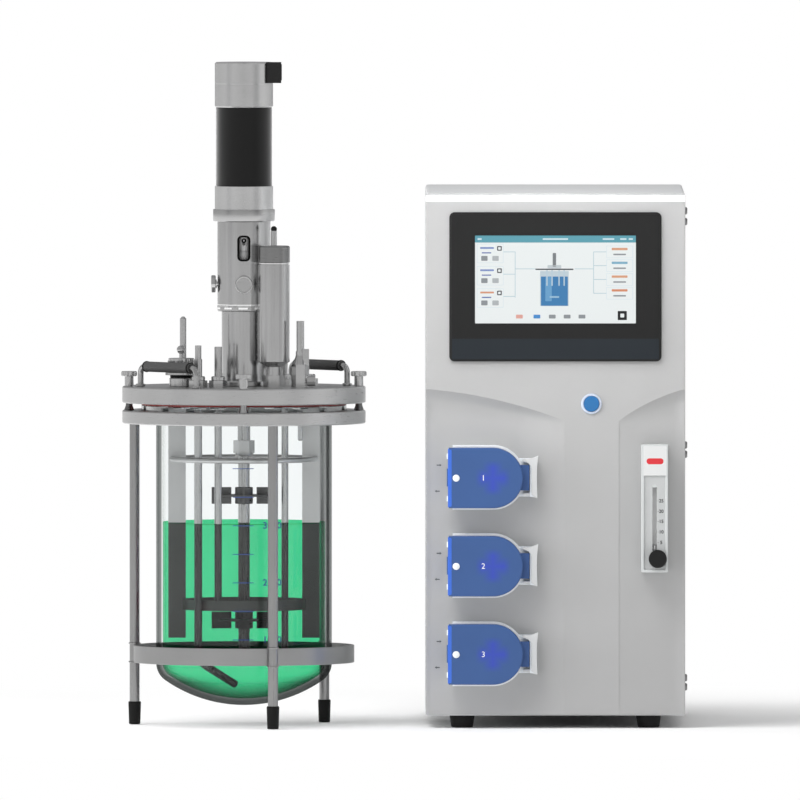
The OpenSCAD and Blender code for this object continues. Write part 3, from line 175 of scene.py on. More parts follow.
@dataclass(frozen=True)
class Finish:
    """A surface finish, which makes one material.

    Args:
        name: The material's name.
        colour: Its sRGB hex colour.
        roughness: How much it spreads its highlights.
    """

    name: str
    colour: str
    roughness: float

    def surface(self, tree: Tree) -> Socket:
        """Builds the shader in an empty tree and returns its socket.

        Args:
            tree: The empty node tree.

        Returns:
            The shader's socket.
        """
        raise NotImplementedError

    def material(self) -> bpy.types.Material:
        """The finish as a Blender material, made once.

        Returns:
            The material.
        """
        known = bpy.data.materials.get(self.name)
        if known is not None and known.get("made") == 1:
            return known
        made = bpy.data.materials.new(self.name)
        made["made"] = 1
        made.use_nodes = True
        made.node_tree.nodes.clear()
        add(made.node_tree, "OutputMaterial", Surface=self.surface(made.node_tree))
        return made


@dataclass(frozen=True)
class Metal(Finish):
    """Steel or aluminium: grey and mirror-like, its highlights drawn out by tool marks.

    Args:
        marks: Which way the tool marks run.
        depth_mm: Depth of the marks.
        wet: Whether broth covers it up to the broth's surface; below that, painted shade darkens it.
        cloud_mm: Size of the faint clouds that handling leaves.
        tone: Darkest and palest tone, as shares of the colour.
        spread: Least and most roughness, as shares of it.
    """

    marks: Marks = Marks.TURNED
    depth_mm: float = 0.006
    wet: bool = False
    cloud_mm: float = 55.5556
    tone: Point = (0.92, 1.03)
    spread: Point = (0.75, 1.25)

    def surface(self, tree: Tree) -> Socket:
        """Tone and roughness that vary along the marks, and a fine bump.

        Args:
            tree: The empty node tree.

        Returns:
            The shader's socket.
        """
        lines = pattern(tree, self.marks.value, 3.0)
        cloud = pattern(tree, (self.cloud_mm,) * 3)
        both = add(tree, "Math", {"operation": "MULTIPLY_ADD"}, i0=lines, i1=0.6, i2=cloud)
        darker, paler = (linear(self.colour, share) for share in self.tone)
        stops = [(0.5, darker), (1.1, paler)]
        tone = add(tree, "ValToRGB", {"stops": stops}, Fac=both.outputs[0]).outputs[0]
        # Below the broth's surface the colour is multiplied down: painted shade for the light that the
        # broth takes.
        if self.wet:
            height = add(tree, "SeparateXYZ", Vector=add(tree, "TexCoord").outputs["Object"])
            low, high = (BROTH_TOP - BROTH_SHADE_FADE) * MM, (BROTH_TOP + BROTH_SHADE_FADE) * MM
            under = add(tree, "MapRange", i0=height.outputs["Z"], i1=low, i2=high, i3=1.0, i4=0.0)
            tinted = {**COLOURS, "blend_type": "MULTIPLY"}
            tone = add(tree, "Mix", tinted, i0=under.outputs[0], i6=tone, i7=BROTH_SHADE_TINT).outputs[2]
        smoothest, roughest = (self.roughness * share for share in self.spread)
        spread = add(tree, "MapRange", i0=lines, i3=smoothest, i4=roughest)
        bump = add(tree, "Bump", Height=lines, Strength=0.3, Distance=self.depth_mm * MM)
        return add(
            tree,
            "BsdfPrincipled",
            Base_Color=tone,
            Metallic=1.0,
            Roughness=spread.outputs[0],
            Normal=bump.outputs[0],
        ).outputs[0]


@dataclass(frozen=True)
class Moulded(Finish):
    """Plastic, rubber or paint: a fine even texture under a soft sheen.

    Args:
        cell_mm: Size of the texture's cells.
        depth_mm: Depth of the texture.
        mottle: How far the tone varies over a patch's size.
        coat: Strength of the clear gloss on top.
        shine: Strength of its own highlights, 0.5 for a plain plastic.
        bloom: Strength of the pale bloom along its edges.
        patch_mm: Size of the patches of uneven tone.
        spread: Least and most roughness, as shares of it.
        soft_bloom: How far the bloom reaches in from the edges.
        coat_rough: How much the clear gloss spreads its highlights.
    """

    cell_mm: float = 1.2
    depth_mm: float = 0.02
    mottle: float = 0.03
    coat: float = 0.0
    shine: float = 0.5
    bloom: float = 0.0
    patch_mm: float = 40.0
    spread: Point = (0.85, 1.15)
    soft_bloom: float = 0.36
    coat_rough: float = 0.08

    def surface(self, tree: Tree) -> Socket:
        """A plain dielectric with a fine bump and slight mottling.

        Args:
            tree: The empty node tree.

        Returns:
            The shader's socket.
        """
        fine = pattern(tree, (self.cell_mm,) * 3)
        cloud = pattern(tree, (self.patch_mm,) * 3)
        darker, paler = linear(self.colour, 1 - self.mottle), linear(self.colour, 1 + self.mottle)
        smoothest, roughest = (self.roughness * share for share in self.spread)
        spread = add(tree, "MapRange", i0=fine, i3=smoothest, i4=roughest)
        bump = add(tree, "Bump", Height=fine, Strength=0.35, Distance=self.depth_mm * MM)
        tone = add(tree, "ValToRGB", {"stops": [(0.35, darker), (0.65, paler)]}, Fac=cloud)
        return add(
            tree,
            "BsdfPrincipled",
            Base_Color=tone.outputs[0],
            Roughness=spread.outputs[0],
            Specular_IOR_Level=self.shine,
            Sheen_Weight=self.bloom,
            Sheen_Roughness=self.soft_bloom,
            Coat_Weight=self.coat,
            Coat_Roughness=self.coat_rough,
            Normal=bump.outputs[0],
        ).outputs[0]


@dataclass(frozen=True)
class Glow(Finish):
    """One field of a lit display picture, under a glossy pane.

    Args:
        strength: How brightly it shines.
        dot_mm: Distance between the display's dots, drawn at twice the real 0.2 mm so that it shows.
    """

    strength: float = 0.8
    dot_mm: float = 0.4

    def surface(self, tree: Tree) -> Socket:
        """Light in rows of dots one display cell apart.

        Args:
            tree: The empty node tree.

        Returns:
            The shader's socket.
        """
        dots = pattern(tree, (self.dot_mm,) * 3, 0.0)
        stops = [(0.3, linear(self.colour, 0.94)), (0.7, linear(self.colour, 1.0))]
        tone = add(tree, "ValToRGB", {"stops": stops}, Fac=dots)
        return add(
            tree,
            "BsdfPrincipled",
            Base_Color=linear(self.colour, 0.12),
            Roughness=self.roughness,
            Emission_Color=tone.outputs[0],
            Emission_Strength=self.strength,
        ).outputs[0]


@dataclass(frozen=True)
class ClearGlass(Finish):
    """Borosilicate glass: clear where it is seen square on, with painted grey shade where the wall is
    seen along, in place of the dark that refraction shows there.

    Args:
        edge: What it lets through at a grazing angle: the painted grey shade.
        turn: From and to how far it turns away as it changes from clear to grey.
        gloss: How much it mirrors at a grazing angle.
        glint: From and to how far it turns away as that mirror grows.
        wave_mm: Size of the faint waves that drawing the tube leaves, across and along it.
        wave_depth_mm: Depth of those waves.
        least: How much it mirrors where it is seen square on.
        shade: What it lets through where it casts a shadow.
    """

    edge: str = "#b0b3b2"
    turn: Point = (0.62, 0.7)
    gloss: float = 0.16
    glint: Point = (0.5, 1.0)
    wave_mm: Point = (16.6667, 111.111)
    wave_depth_mm: float = 0.05
    least: float = 0.012
    shade: str = "#f6f8f7"

    def surface(self, tree: Tree) -> Socket:
        """A clear skin under a faint mirror, which lets nearly all light through to what it holds.

        Args:
            tree: The empty node tree.

        Returns:
            The shader's socket.
        """
        across, up = self.wave_mm
        waves = pattern(tree, (across, across, up))
        bump = add(tree, "Bump", Height=waves, Strength=0.08, Distance=self.wave_depth_mm * MM)
        angle = add(tree, "LayerWeight", Blend=0.5, Normal=bump.outputs[0])
        away = angle.outputs["Facing"]
        along = add(tree, "MapRange", SMOOTH, i0=away, i1=self.turn[0], i2=self.turn[1])
        stops = [(0.0, linear(self.colour)), (1.0, linear(self.edge))]
        tint = add(tree, "ValToRGB", {"stops": stops}, Fac=along.outputs[0])
        through = add(tree, "BsdfTransparent", Color=tint.outputs[0])
        mirror = add(tree, "BsdfGlossy", Roughness=self.roughness, Normal=bump.outputs[0])
        near, far = self.glint
        growth = {"i1": near, "i2": far, "i3": self.least, "i4": self.gloss}
        share = add(tree, "MapRange", SMOOTH, i0=away, **growth).outputs[0]
        glass = add(tree, "MixShader", i0=share, i1=through.outputs[0], i2=mirror.outputs[0])
        clear = add(tree, "BsdfTransparent", Color=linear(self.shade))
        shaded = add(tree, "LightPath").outputs["Is Shadow Ray"]
        return add(tree, "MixShader", i0=shaded, i1=glass.outputs[0], i2=clear.outputs[0]).outputs[0]


@dataclass(frozen=True)
class Broth(Finish):
    """Clear green culture broth: light is tinted once on the way in and once on the way out.

    Args:
        eddy_mm: Size of the slightly deeper and paler parts.
        tone: Deepest and palest tone, as shares of the colour.
        mirror: Share of the light that its surface mirrors.
    """

    eddy_mm: float = 71.4286
    tone: Point = (0.97, 1.03)
    mirror: float = 0.02

    def surface(self, tree: Tree) -> Socket:
        """A tint on what is seen through it, and none on the light that reaches what it holds.

        Args:
            tree: The empty node tree.

        Returns:
            The shader's socket.
        """
        path = add(tree, "LightPath")
        by_eye, through = path.outputs["Is Camera Ray"], path.outputs["Is Transmission Ray"]
        seen = add(tree, "Math", LARGER, i0=by_eye, i1=through)
        depth = pattern(tree, (self.eddy_mm,) * 3)
        deeper, paler = (linear(self.colour, share) for share in self.tone)
        tone = add(tree, "ValToRGB", {"stops": [(0.3, deeper), (0.7, paler)]}, Fac=depth)
        tint = add(tree, "BsdfTransparent", Color=tone.outputs[0])
        clear = add(tree, "BsdfTransparent", Color=CLEAR)
        sheen = add(tree, "BsdfGlossy", Color=CLEAR, Roughness=self.roughness)
        body = add(tree, "MixShader", i0=seen.outputs[0], i1=clear.outputs[0], i2=tint.outputs[0])
        parts = {"i1": body.outputs[0], "i2": sheen.outputs[0]}
        return add(tree, "MixShader", i0=self.mirror, **parts).outputs[0]


# ---------------------------------------------------------------- forms


# Which way a form's own axis points: at the front, to the right, or up
FRONT = Matrix.Rotation(math.radians(90), 4, "X")
RIGHT = Matrix.Rotation(math.radians(90), 4, "Y")
UP = Matrix.Identity(4)


def circle(radius: float, steps: int = 48, x: float = 0.0, y: float = 0.0) -> list[Point]:
    """A closed outline of a circle about (x, y).

    Args:
        radius: Its radius.
        steps: Its corners.
        x: Its middle, sideways.
        y: Its middle, upwards.

    Returns:
        The outline.
    """
    turns = [2 * math.pi * i / steps for i in range(steps)]
    return [(x + radius * math.cos(t), y + radius * math.sin(t)) for t in turns]


def rounded(width: float, height: float, corner: float, x: float = 0.0, y: float = 0.0) -> list[Point]:
    """A closed outline of a rectangle with round corners, centred on (x, y).

    Args:
        width: Its width.
        height: Its height.
        corner: Radius of its corners.
        x: Its middle, sideways.
        y: Its middle, upwards.

    Returns:
        The outline.
    """
    points = []
    for quarter, (sx, sy) in enumerate(((1, 1), (-1, 1), (-1, -1), (1, -1))):
        cx, cy = x + sx * (width / 2 - corner), y + sy * (height / 2 - corner)
        for degrees in range(0, 91, 15):
            turn = math.radians(90 * quarter + degrees)
            points.append((cx + corner * math.cos(turn), cy + corner * math.sin(turn)))
    return points


def polygon(sides: int, across: float) -> list[Point]:
    """A regular outline such as a nut's, measured across its flats.

    Args:
        sides: How many flats it has.
        across: Distance across the flats.

    Returns:
        The outline.
    """
    reach = across / 2 / math.cos(math.pi / sides)
    turns = [2 * math.pi * (i + 0.5) / sides for i in range(sides)]
    return [(reach * math.cos(t), reach * math.sin(t)) for t in turns]


def knurl(radius: float, teeth: int, depth: float) -> list[Point]:
    """An outline with the teeth of a knurled rim.

    Args:
        radius: Its radius over the teeth.
        teeth: How many teeth it has.
        depth: How deep they are cut.

    Returns:
        The outline.
    """
    points = []
    for i in range(teeth):
        for part, reach in ((0.0, radius - depth), (0.3, radius), (0.6, radius)):
            turn = 2 * math.pi * (i + part) / teeth
            points.append((reach * math.cos(turn), reach * math.sin(turn)))
    return points


class Shape:
    """A mesh put together in millimetres from several forms, each with its own finish.

    Args:
        name: The piece's name.
        origin: Where the piece's own origin is, in millimetres of the frame.
    """

    def __init__(self, name: str, origin: Vec3 = (0.0, 0.0, 0.0)) -> None:
        """Starts an empty piece at its origin.

        Args:
            name: The piece's name.
            origin: Where the piece's own origin is, in millimetres of the frame.
        """
        self.name = name
        self.origin = Vector(origin)
        self.points: list[Vector] = []
        self.faces: list[tuple[int, ...]] = []
        self.marks: list[int] = []
        self.finishes: list[Finish] = []
        self.current = 0
        self.place = Matrix.Identity(4)
        self.roll = 0.0

    def wear(self, finish: Finish) -> "Shape":
        """Gives the forms that follow this finish.

        Args:
            finish: The finish.

        Returns:
            The shape itself.
        """
        if finish not in self.finishes:
            self.finishes.append(finish)
        self.current = self.finishes.index(finish)
        return self

    def at(self, x: float, y: float, z: float, turn: Matrix = UP, roll: float = 0.0) -> "Shape":
        """Moves the place of the forms that follow, measured from the piece's origin.

        Args:
            x: Sideways.
            y: Backwards.
            z: Upwards.
            turn: Which way the forms' own axis points.
            roll: Radius that the forms are rolled onto, or 0 for none.

        Returns:
            The shape itself.
        """
        self.place = Matrix.Translation((x, y, z)) @ turn
        self.roll = roll
        return self

    def take(self, points: Sequence[Vec3], faces: Sequence[Sequence[int]]) -> "Shape":
        """Adds points and faces at the current place, in the current finish.

        Args:
            points: The points, from the current place.
            faces: Places of each face's corners among them.

        Returns:
            The shape itself.
        """
        first = len(self.points)
        for point in points:
            spot = Vector(point)
            if self.roll:
                turn = spot.x / self.roll
                reach = self.roll + spot.z
                spot = Vector((reach * math.sin(turn), spot.y, reach * math.cos(turn)))
            self.points.append(self.place @ spot)
        self.faces.extend(tuple(first + i for i in face) for face in faces)
        self.marks.extend([self.current] * len(faces))
        return self

    def take_curve(self, curve: bpy.types.Curve, lift: float = 0.0) -> "Shape":
        """Adds the mesh of a curve or of lettering, lifted along its own axis, and removes it.

        Args:
            curve: The curve.
            lift: How far it is lifted.

        Returns:
            The shape itself.
        """
        holder = bpy.data.objects.new("form", curve)
        mesh = holder.to_mesh()
        points = [(v.co.x, v.co.y, v.co.z + lift) for v in mesh.vertices]
        self.take(points, [tuple(p.vertices) for p in mesh.polygons])
        holder.to_mesh_clear()
        bpy.data.objects.remove(holder)
        bpy.data.curves.remove(curve)
        return self

    def plate(
        self,
        outline: Sequence[Point],
        low: float,
        high: float,
        bevel: float = 0.0,
        holes: Sequence[Sequence[Point]] = (),
    ) -> "Shape":
        """Adds a flat plate with round edges.

        Args:
            outline: Its edge, in its own plane.
            low: Height of its underside.
            high: Height of its top.
            bevel: Radius of its edges.
            holes: Outlines of the holes through it.

        Returns:
            The shape itself.
        """
        curve = bpy.data.curves.new("plate", "CURVE")
        curve.dimensions = "2D"
        curve.fill_mode = "BOTH"
        curve.extrude = (high - low) / 2 - bevel
        curve.bevel_depth = bevel
        curve.bevel_resolution = 2
        curve.offset = -bevel
        for ring in (outline, *holes):
            line = curve.splines.new("POLY")
            line.points.add(len(ring) - 1)
            for spot, (x, y) in zip(line.points, ring):
                spot.co = (x, y, 0.0, 1.0)
            line.use_cyclic_u = True
        return self.take_curve(curve, (low + high) / 2)

    def lathe(self, profile: Sequence[Point], steps: int = 64) -> "Shape":
        """Turns a profile of (radius, height) points round the form's own axis.

        Args:
            profile: The points, from the bottom up the outside and, for a ring, round to the start.
            steps: Facets in a full turn.

        Returns:
            The shape itself.
        """
        points: list[Vec3] = []
        rings: list[list[int]] = []
        for radius, height in profile:
            if radius < 1e-6:
                points.append((0.0, 0.0, height))
                rings.append([len(points) - 1] * steps)
                continue
            rings.append([len(points) + i for i in range(steps)])
            for i in range(steps):
                turn = 2 * math.pi * i / steps
                points.append((radius * math.cos(turn), radius * math.sin(turn), height))
        faces = []
        for low, high in zip(rings, rings[1:]):
            for i in range(steps):
                j = (i + 1) % steps
                corners = list(dict.fromkeys((low[i], low[j], high[j], high[i])))
                if len(corners) > 2:
                    faces.append(corners)
        return self.take(points, faces)

    def words(self, text: str, size: float, depth: float = 0.1, swell: float = 0.0) -> "Shape":
        """Adds plain lettering, centred, standing on the form's own plane and swollen by a little.

        Args:
            text: The lettering.
            size: Its size.
            depth: Its thickness.
            swell: How far its outline is swollen.

        Returns:
            The shape itself.
        """
        curve = bpy.data.curves.new("words", "FONT")
        curve.body = text
        curve.size = size
        curve.align_x = "CENTER"
        curve.align_y = "CENTER"
        curve.extrude = depth / 2
        curve.resolution_u = 4
        curve.offset = swell
        return self.take_curve(curve)

    def make(
        self,
        body: str = STAND,
        slot: str = "",
        instead_of: Sequence[str] = (),
        sharp: float = 33.0,
    ) -> bpy.types.Object:
        """Turns the shape into a Blender object that rides on a body.

        Args:
            body: The CAD body it moves with.
            slot: The record's material slot; not used.
            instead_of: CAD nodes that it stands for.
            sharp: Edges that turn by more than this many degrees stay sharp.

        Returns:
            The object.
        """
        mesh = bpy.data.meshes.new(self.name)
        mesh.from_pydata([tuple(p * MM) for p in self.points], [], self.faces)
        for finish in self.finishes:
            mesh.materials.append(finish.material())
        mesh.polygons.foreach_set("material_index", self.marks)
        mesh.polygons.foreach_set("use_smooth", [True] * len(self.faces))
        mesh.validate()
        mesh.set_sharp_from_angle(angle=math.radians(sharp))
        piece = bpy.data.objects.new(self.name, mesh)
        piece.location = self.origin * MM
        bpy.context.scene.collection.objects.link(piece)
        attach(piece, body)
        if instead_of:
            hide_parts(*instead_of)
        LOG.info("%s: %d faces, rides on %s", self.name, len(self.faces), body)
        return piece


def dress(finish: Finish, *nodes: str) -> None:
    """Gives CAD nodes a finish in place of their plain colour.

    Args:
        finish: The finish.
        *nodes: The nodes' names.
    """
    for name in nodes:
        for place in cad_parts[name].material_slots:
            place.material = finish.material()
        LOG.info("%s: %s", name, finish.name)


# ---------------------------------------------------------------- the finishes of this part

# Ground flat and turned: soft bright bands with fine rings, no mirror.
GROUND = Metal("ground_stainless_steel", "#c9c9c9", 0.3, depth_mm=0.002)
# Turned and polished: sharper bands, still with faint rings.
TURNED = Metal("turned_stainless_steel", "#d0d0d0", 0.15, depth_mm=0.004)
# Drawn and polished tube: long upright streaks of light and shade.
TUBE = Metal("polished_stainless_tube", "#c8c8c8", 0.2, Marks.UPRIGHT, 0.003)
# Drawn rod: upright streaks, a little duller than the tube.
ROD = Metal("drawn_stainless_rod", "#bfbfbf", 0.28, Marks.UPRIGHT, 0.004)
# Brushed leg tube: darker, since it stands in its own shade.
LEG = Metal("brushed_stainless_leg", "#a6a6a6", 0.3, Marks.UPRIGHT, 0.004)
# Oiled dark so that the threads don't seize.
STUD = Metal("oiled_steel_stud", "#8c8c8c", 0.4, Marks.TURNED, 0.01)
# Rolled strip, tumbled: an even grey with hardly any direction.
STRIP = Metal("tumbled_stainless_strip", "#a9a9a9", 0.38, Marks.EVEN, 0.006)
# Turned aluminium, clear anodised: pale, with soft upright bands.
ANODISED = Metal("anodised_aluminium", "#dbdbdb", 0.24, Marks.EVEN, 0.006)
# Machined alloy, left bright: the palest metal here.
ALLOY = Metal("machined_aluminium_alloy", "#f0f0f0", 0.5, Marks.TURNED, 0.006)
# Ground sleeves with a dull grey oxide: clearly darker than the alloy above them.
SLEEVE = Metal("grey_ground_sleeve", "#939393", 0.3, Marks.TURNED, 0.004)
# Zinc-plated screws: a cool even sheen.
ZINC = Metal("zinc_plated_steel", "#b7babf", 0.35, Marks.EVEN, 0.008)
# Buffed edges: nearly a mirror, so they show as bright lines.
POLISHED = Metal("buffed_stainless_edge", "#ffffff", 0.12, Marks.TURNED, 0.002)
# Ground bearing races: bright, with fine rings.
RACE = Metal("ground_bearing_steel", "#e0e0e0", 0.18)
# The same rod, strip and castings where broth covers them, with painted shade that makes them far
# darker below the broth's surface.
ROD_BROTH_SHADED = Metal("stainless_rod_painted_broth_shade", "#c8c8c8", 0.28, Marks.UPRIGHT, 0.004, wet=True)
STRIP_BROTH_SHADED = Metal("stainless_strip_painted_broth_shade", "#cecece", 0.36, Marks.EVEN, 0.006, wet=True)
CAST_BROTH_SHADED = Metal("cast_stainless_painted_broth_shade", "#6c6c6c", 0.4, Marks.EVEN, 0.01, wet=True)

# Borosilicate tube: almost no colour; grey only where the wall is seen edge on, as painted shade.
GLASS = ClearGlass("borosilicate_glass_drawn", "#fdfefe", 0.03)
# The dish's rim gets a deeper painted grey shade over a wider turn, so the broth darkens towards it.
DISH_GLASS = ClearGlass("borosilicate_dish", "#fdfefe", 0.03, "#8b8e8d", (0.36, 0.8), 0.04)
# The pressed flange: clear over the bore, and filled with pale light where it is solid to the edge.
FLANGE_GLASS = ClearGlass(
    "borosilicate_flange", "#fdfefe", 0.05, "#d2d5d4", (0.36, 0.46), 0.6, (0.36, 0.44)
)
# The wall's inner face: its edge only dims what stands close behind it.
GLASS_INNER = ClearGlass("borosilicate_inner_face", "#fdfefe", 0.03, "#f0f2f1", (0.7, 0.9))
# Screen-printed ceramic ink, fired on: flat blue, slightly rough.
INK = Moulded("fired_blue_ink", "#33508f", 0.5, 0.4, 0.01)
# Broth: clear green, with the faint mirror of a liquid surface.
BROTH = Broth("green_culture_broth", "#86e6c0", 0.05)

# Silicone sheet: matt brick red with a faint bloom.
SILICONE = Moulded("red_silicone_sheet", "#a8403c", 0.55, 1.5, 0.02)
# Window seal: as black as rubber gets, with no gloss.
SEAL = Moulded("black_window_seal", "#060606", 0.7, 1.2, 0.02, shine=0.1)
# Nitrile rubber, moulded: near black, matt.
RUBBER = Moulded("black_nitrile_rubber", "#101010", 0.6, 1.2, 0.04, shine=0.25)
# Rubber grip sleeve: dark grey with fine pores.
GRIP = Moulded("grey_rubber_sleeve", "#3e3e3e", 0.5, 1.0, 0.05, shine=0.35)
# Paint over steel: black with a soft gloss that shows the light at its sides.
MOTOR_PAINT = Moulded("black_baked_enamel", "#0c0c0c", 0.3, 1.5, 0.01, shine=0.22, bloom=1.0)
# Glass-filled nylon: black, fine spark-eroded texture.
NYLON = Moulded("black_glass_filled_nylon", "#181818", 0.5, 0.9, 0.04, shine=0.3)
# Powder coat on sheet steel: pale grey, fine orange peel.
PAINT = Moulded("pale_grey_powder_coat", "#c6c7c8", 0.42, 1.6, 0.03, mottle=0.01)
# The front moulding, sprayed to match the sheet: a shade smoother.
PANEL = Moulded("pale_grey_sprayed_abs", "#b2b2b2", 0.4, 1.4, 0.02, mottle=0.01)
# ABS with a spark-eroded face: charcoal, low sheen.
BEZEL = Moulded("charcoal_abs", "#1f1f1f", 0.5, 0.8, 0.03, mottle=0.02, shine=0.25)
# The same ABS with a finer face in the lower band: slate, a little bluer.
BEZEL_BAND = Moulded("slate_abs_band", "#24292e", 0.42, 0.8, 0.02, mottle=0.02, shine=0.25)
# White ABS, polished mould: the brightest plastic, for trim and beads, and laid on the panel's top
# slope as a painted highlight.
WHITE_TRIM_AND_HIGHLIGHT = Moulded("gloss_white_trim_and_painted_highlight", "#f4f4f4", 0.3, 1.2, 0.01, mottle=0.01)
# White ABS, satin mould: bright, slightly cool.
WHITE = Moulded("white_abs", "#f1f5f8", 0.35, 1.2, 0.015, mottle=0.01)
# Frosted acrylic round the button's lens: pale, with a painted blue tinge for the light from the lens
# beside it.
RING = Moulded("frosted_lens_ring", "#c9d2e2", 0.4, 1.2, 0.01)
# Unpainted ABS clips and labels: a shade greyer than the white parts.
PALE = Moulded("pale_grey_abs", "#dcdddd", 0.4, 1.2, 0.015, mottle=0.01)
# Translucent blue polycarbonate: deep and glossy.
LENS = Moulded("blue_polycarbonate", "#2c6ea8", 0.3, 2.0, 0.005, shine=0.4)
# The same plastic along the covers' left edge, painted brighter: a painted highlight where the lamp
# from the left catches it.
COVER_EDGE_HIGHLIGHT = Moulded("blue_polycarbonate_painted_highlight", "#3f6fd6", 0.3, 2.0, 0.005, shine=0.4)
# Acrylic block, machined and flame polished, backed in white.
ACRYLIC = Moulded("polished_acrylic_block", "#cfd2d2", 0.2, 2.5, 0.006, mottle=0.01, coat=0.4)
# Matt film behind the flowmeter's figures: light grey, no gloss.
SCALE = Moulded("matt_scale_strip", "#c0c2c2", 0.45, 1.2, 0.01, mottle=0.01)
# White film at the bottom of the float's slot.
SLOT = Moulded("pale_slot_backing", "#f0f0f0", 0.4, 1.2, 0.01)
# Baked enamel: plain signal red.
RED = Moulded("red_enamel", "#d8323a", 0.4, 1.2, 0.01)
# Pad-printed marks, flat and slightly rough: grey on the panel, white on blue, black on grey.
PRINT_GREY = Moulded("grey_pad_print", "#5c6062", 0.5, 0.6, 0.01)
PRINT_WHITE = Moulded("white_pad_print", "#f2f4f6", 0.5, 0.6, 0.01)
PRINT_BLACK = Moulded("black_pad_print", "#141516", 0.5, 0.6, 0.01)
# Glass-fibre circuit board under green lacquer.
BOARD = Moulded("green_circuit_board", "#2f6b45", 0.35, 1.0, 0.02, mottle=0.12, coat=0.3)


@dataclass(frozen=True)
class CoverPlastic(Moulded):
    """Blue polycarbonate thin enough for the rollers under it to show as a paler cross.

    Args:
        arm_mm: Half-length of the cross's arms.
        half_mm: Half-width of the cross's arms.
        through: The colour where the rollers show.
    """

    arm_mm: float = 14.5
    half_mm: float = 4.5
    through: str = "#3c4fb4"

    def surface(self, tree: Tree) -> Socket:
        """The moulded finish with a soft cross about the piece's own origin.

        Args:
            tree: The empty node tree.

        Returns:
            The shader's socket.
        """
        shader = super().surface(tree)
        base = shader.node.inputs["Base Color"]
        plain = base.links[0].from_socket
        spot = add(tree, "SeparateXYZ", Vector=add(tree, "TexCoord").outputs["Object"])
        size = {"operation": "ABSOLUTE"}
        across = add(tree, "Math", size, i0=spot.outputs["X"])
        along = add(tree, "Math", size, i0=spot.outputs["Z"])
        start, end = 0.7 * self.arm_mm * MM, 1.15 * self.arm_mm * MM
        arms = []
        for near, far in ((across.outputs[0], along.outputs[0]), (along.outputs[0], across.outputs[0])):
            side = add(tree, "MapRange", i0=near, i1=0.0, i2=2.2 * self.half_mm * MM, i3=1.0, i4=0.0)
            tip = add(tree, "MapRange", i0=far, i1=start, i2=end, i3=1.0, i4=0.0)
            arms.append(add(tree, "Math", TIMES, i0=side.outputs[0], i1=tip.outputs[0]).outputs[0])
        cross = add(tree, "Math", LARGER, i0=arms[0], i1=arms[1])
        mixed = add(tree, "Mix", COLOURS, i0=cross.outputs[0], i6=plain, i7=linear(self.through))
        tree.links.new(mixed.outputs[2], base)
        return shader


# Blue polycarbonate cover: mid blue, glossy, the roller cross just visible.
COVER = CoverPlastic("blue_pump_cover", "#3f5d92", 0.35, 2.0, 0.008, shine=0.3)


# ---------------------------------------------------------------- the vessel unit


VESSEL_X, VESSEL_Y = middle("glass_vessel")
VESSEL_FOOT = (VESSEL_X, VESSEL_Y, 0.0)
# Axes of the condenser and the sampler, from the vessel's own
CONDENSER = (28.4, -30.0)
SAMPLER = (-59.0, -20.0)


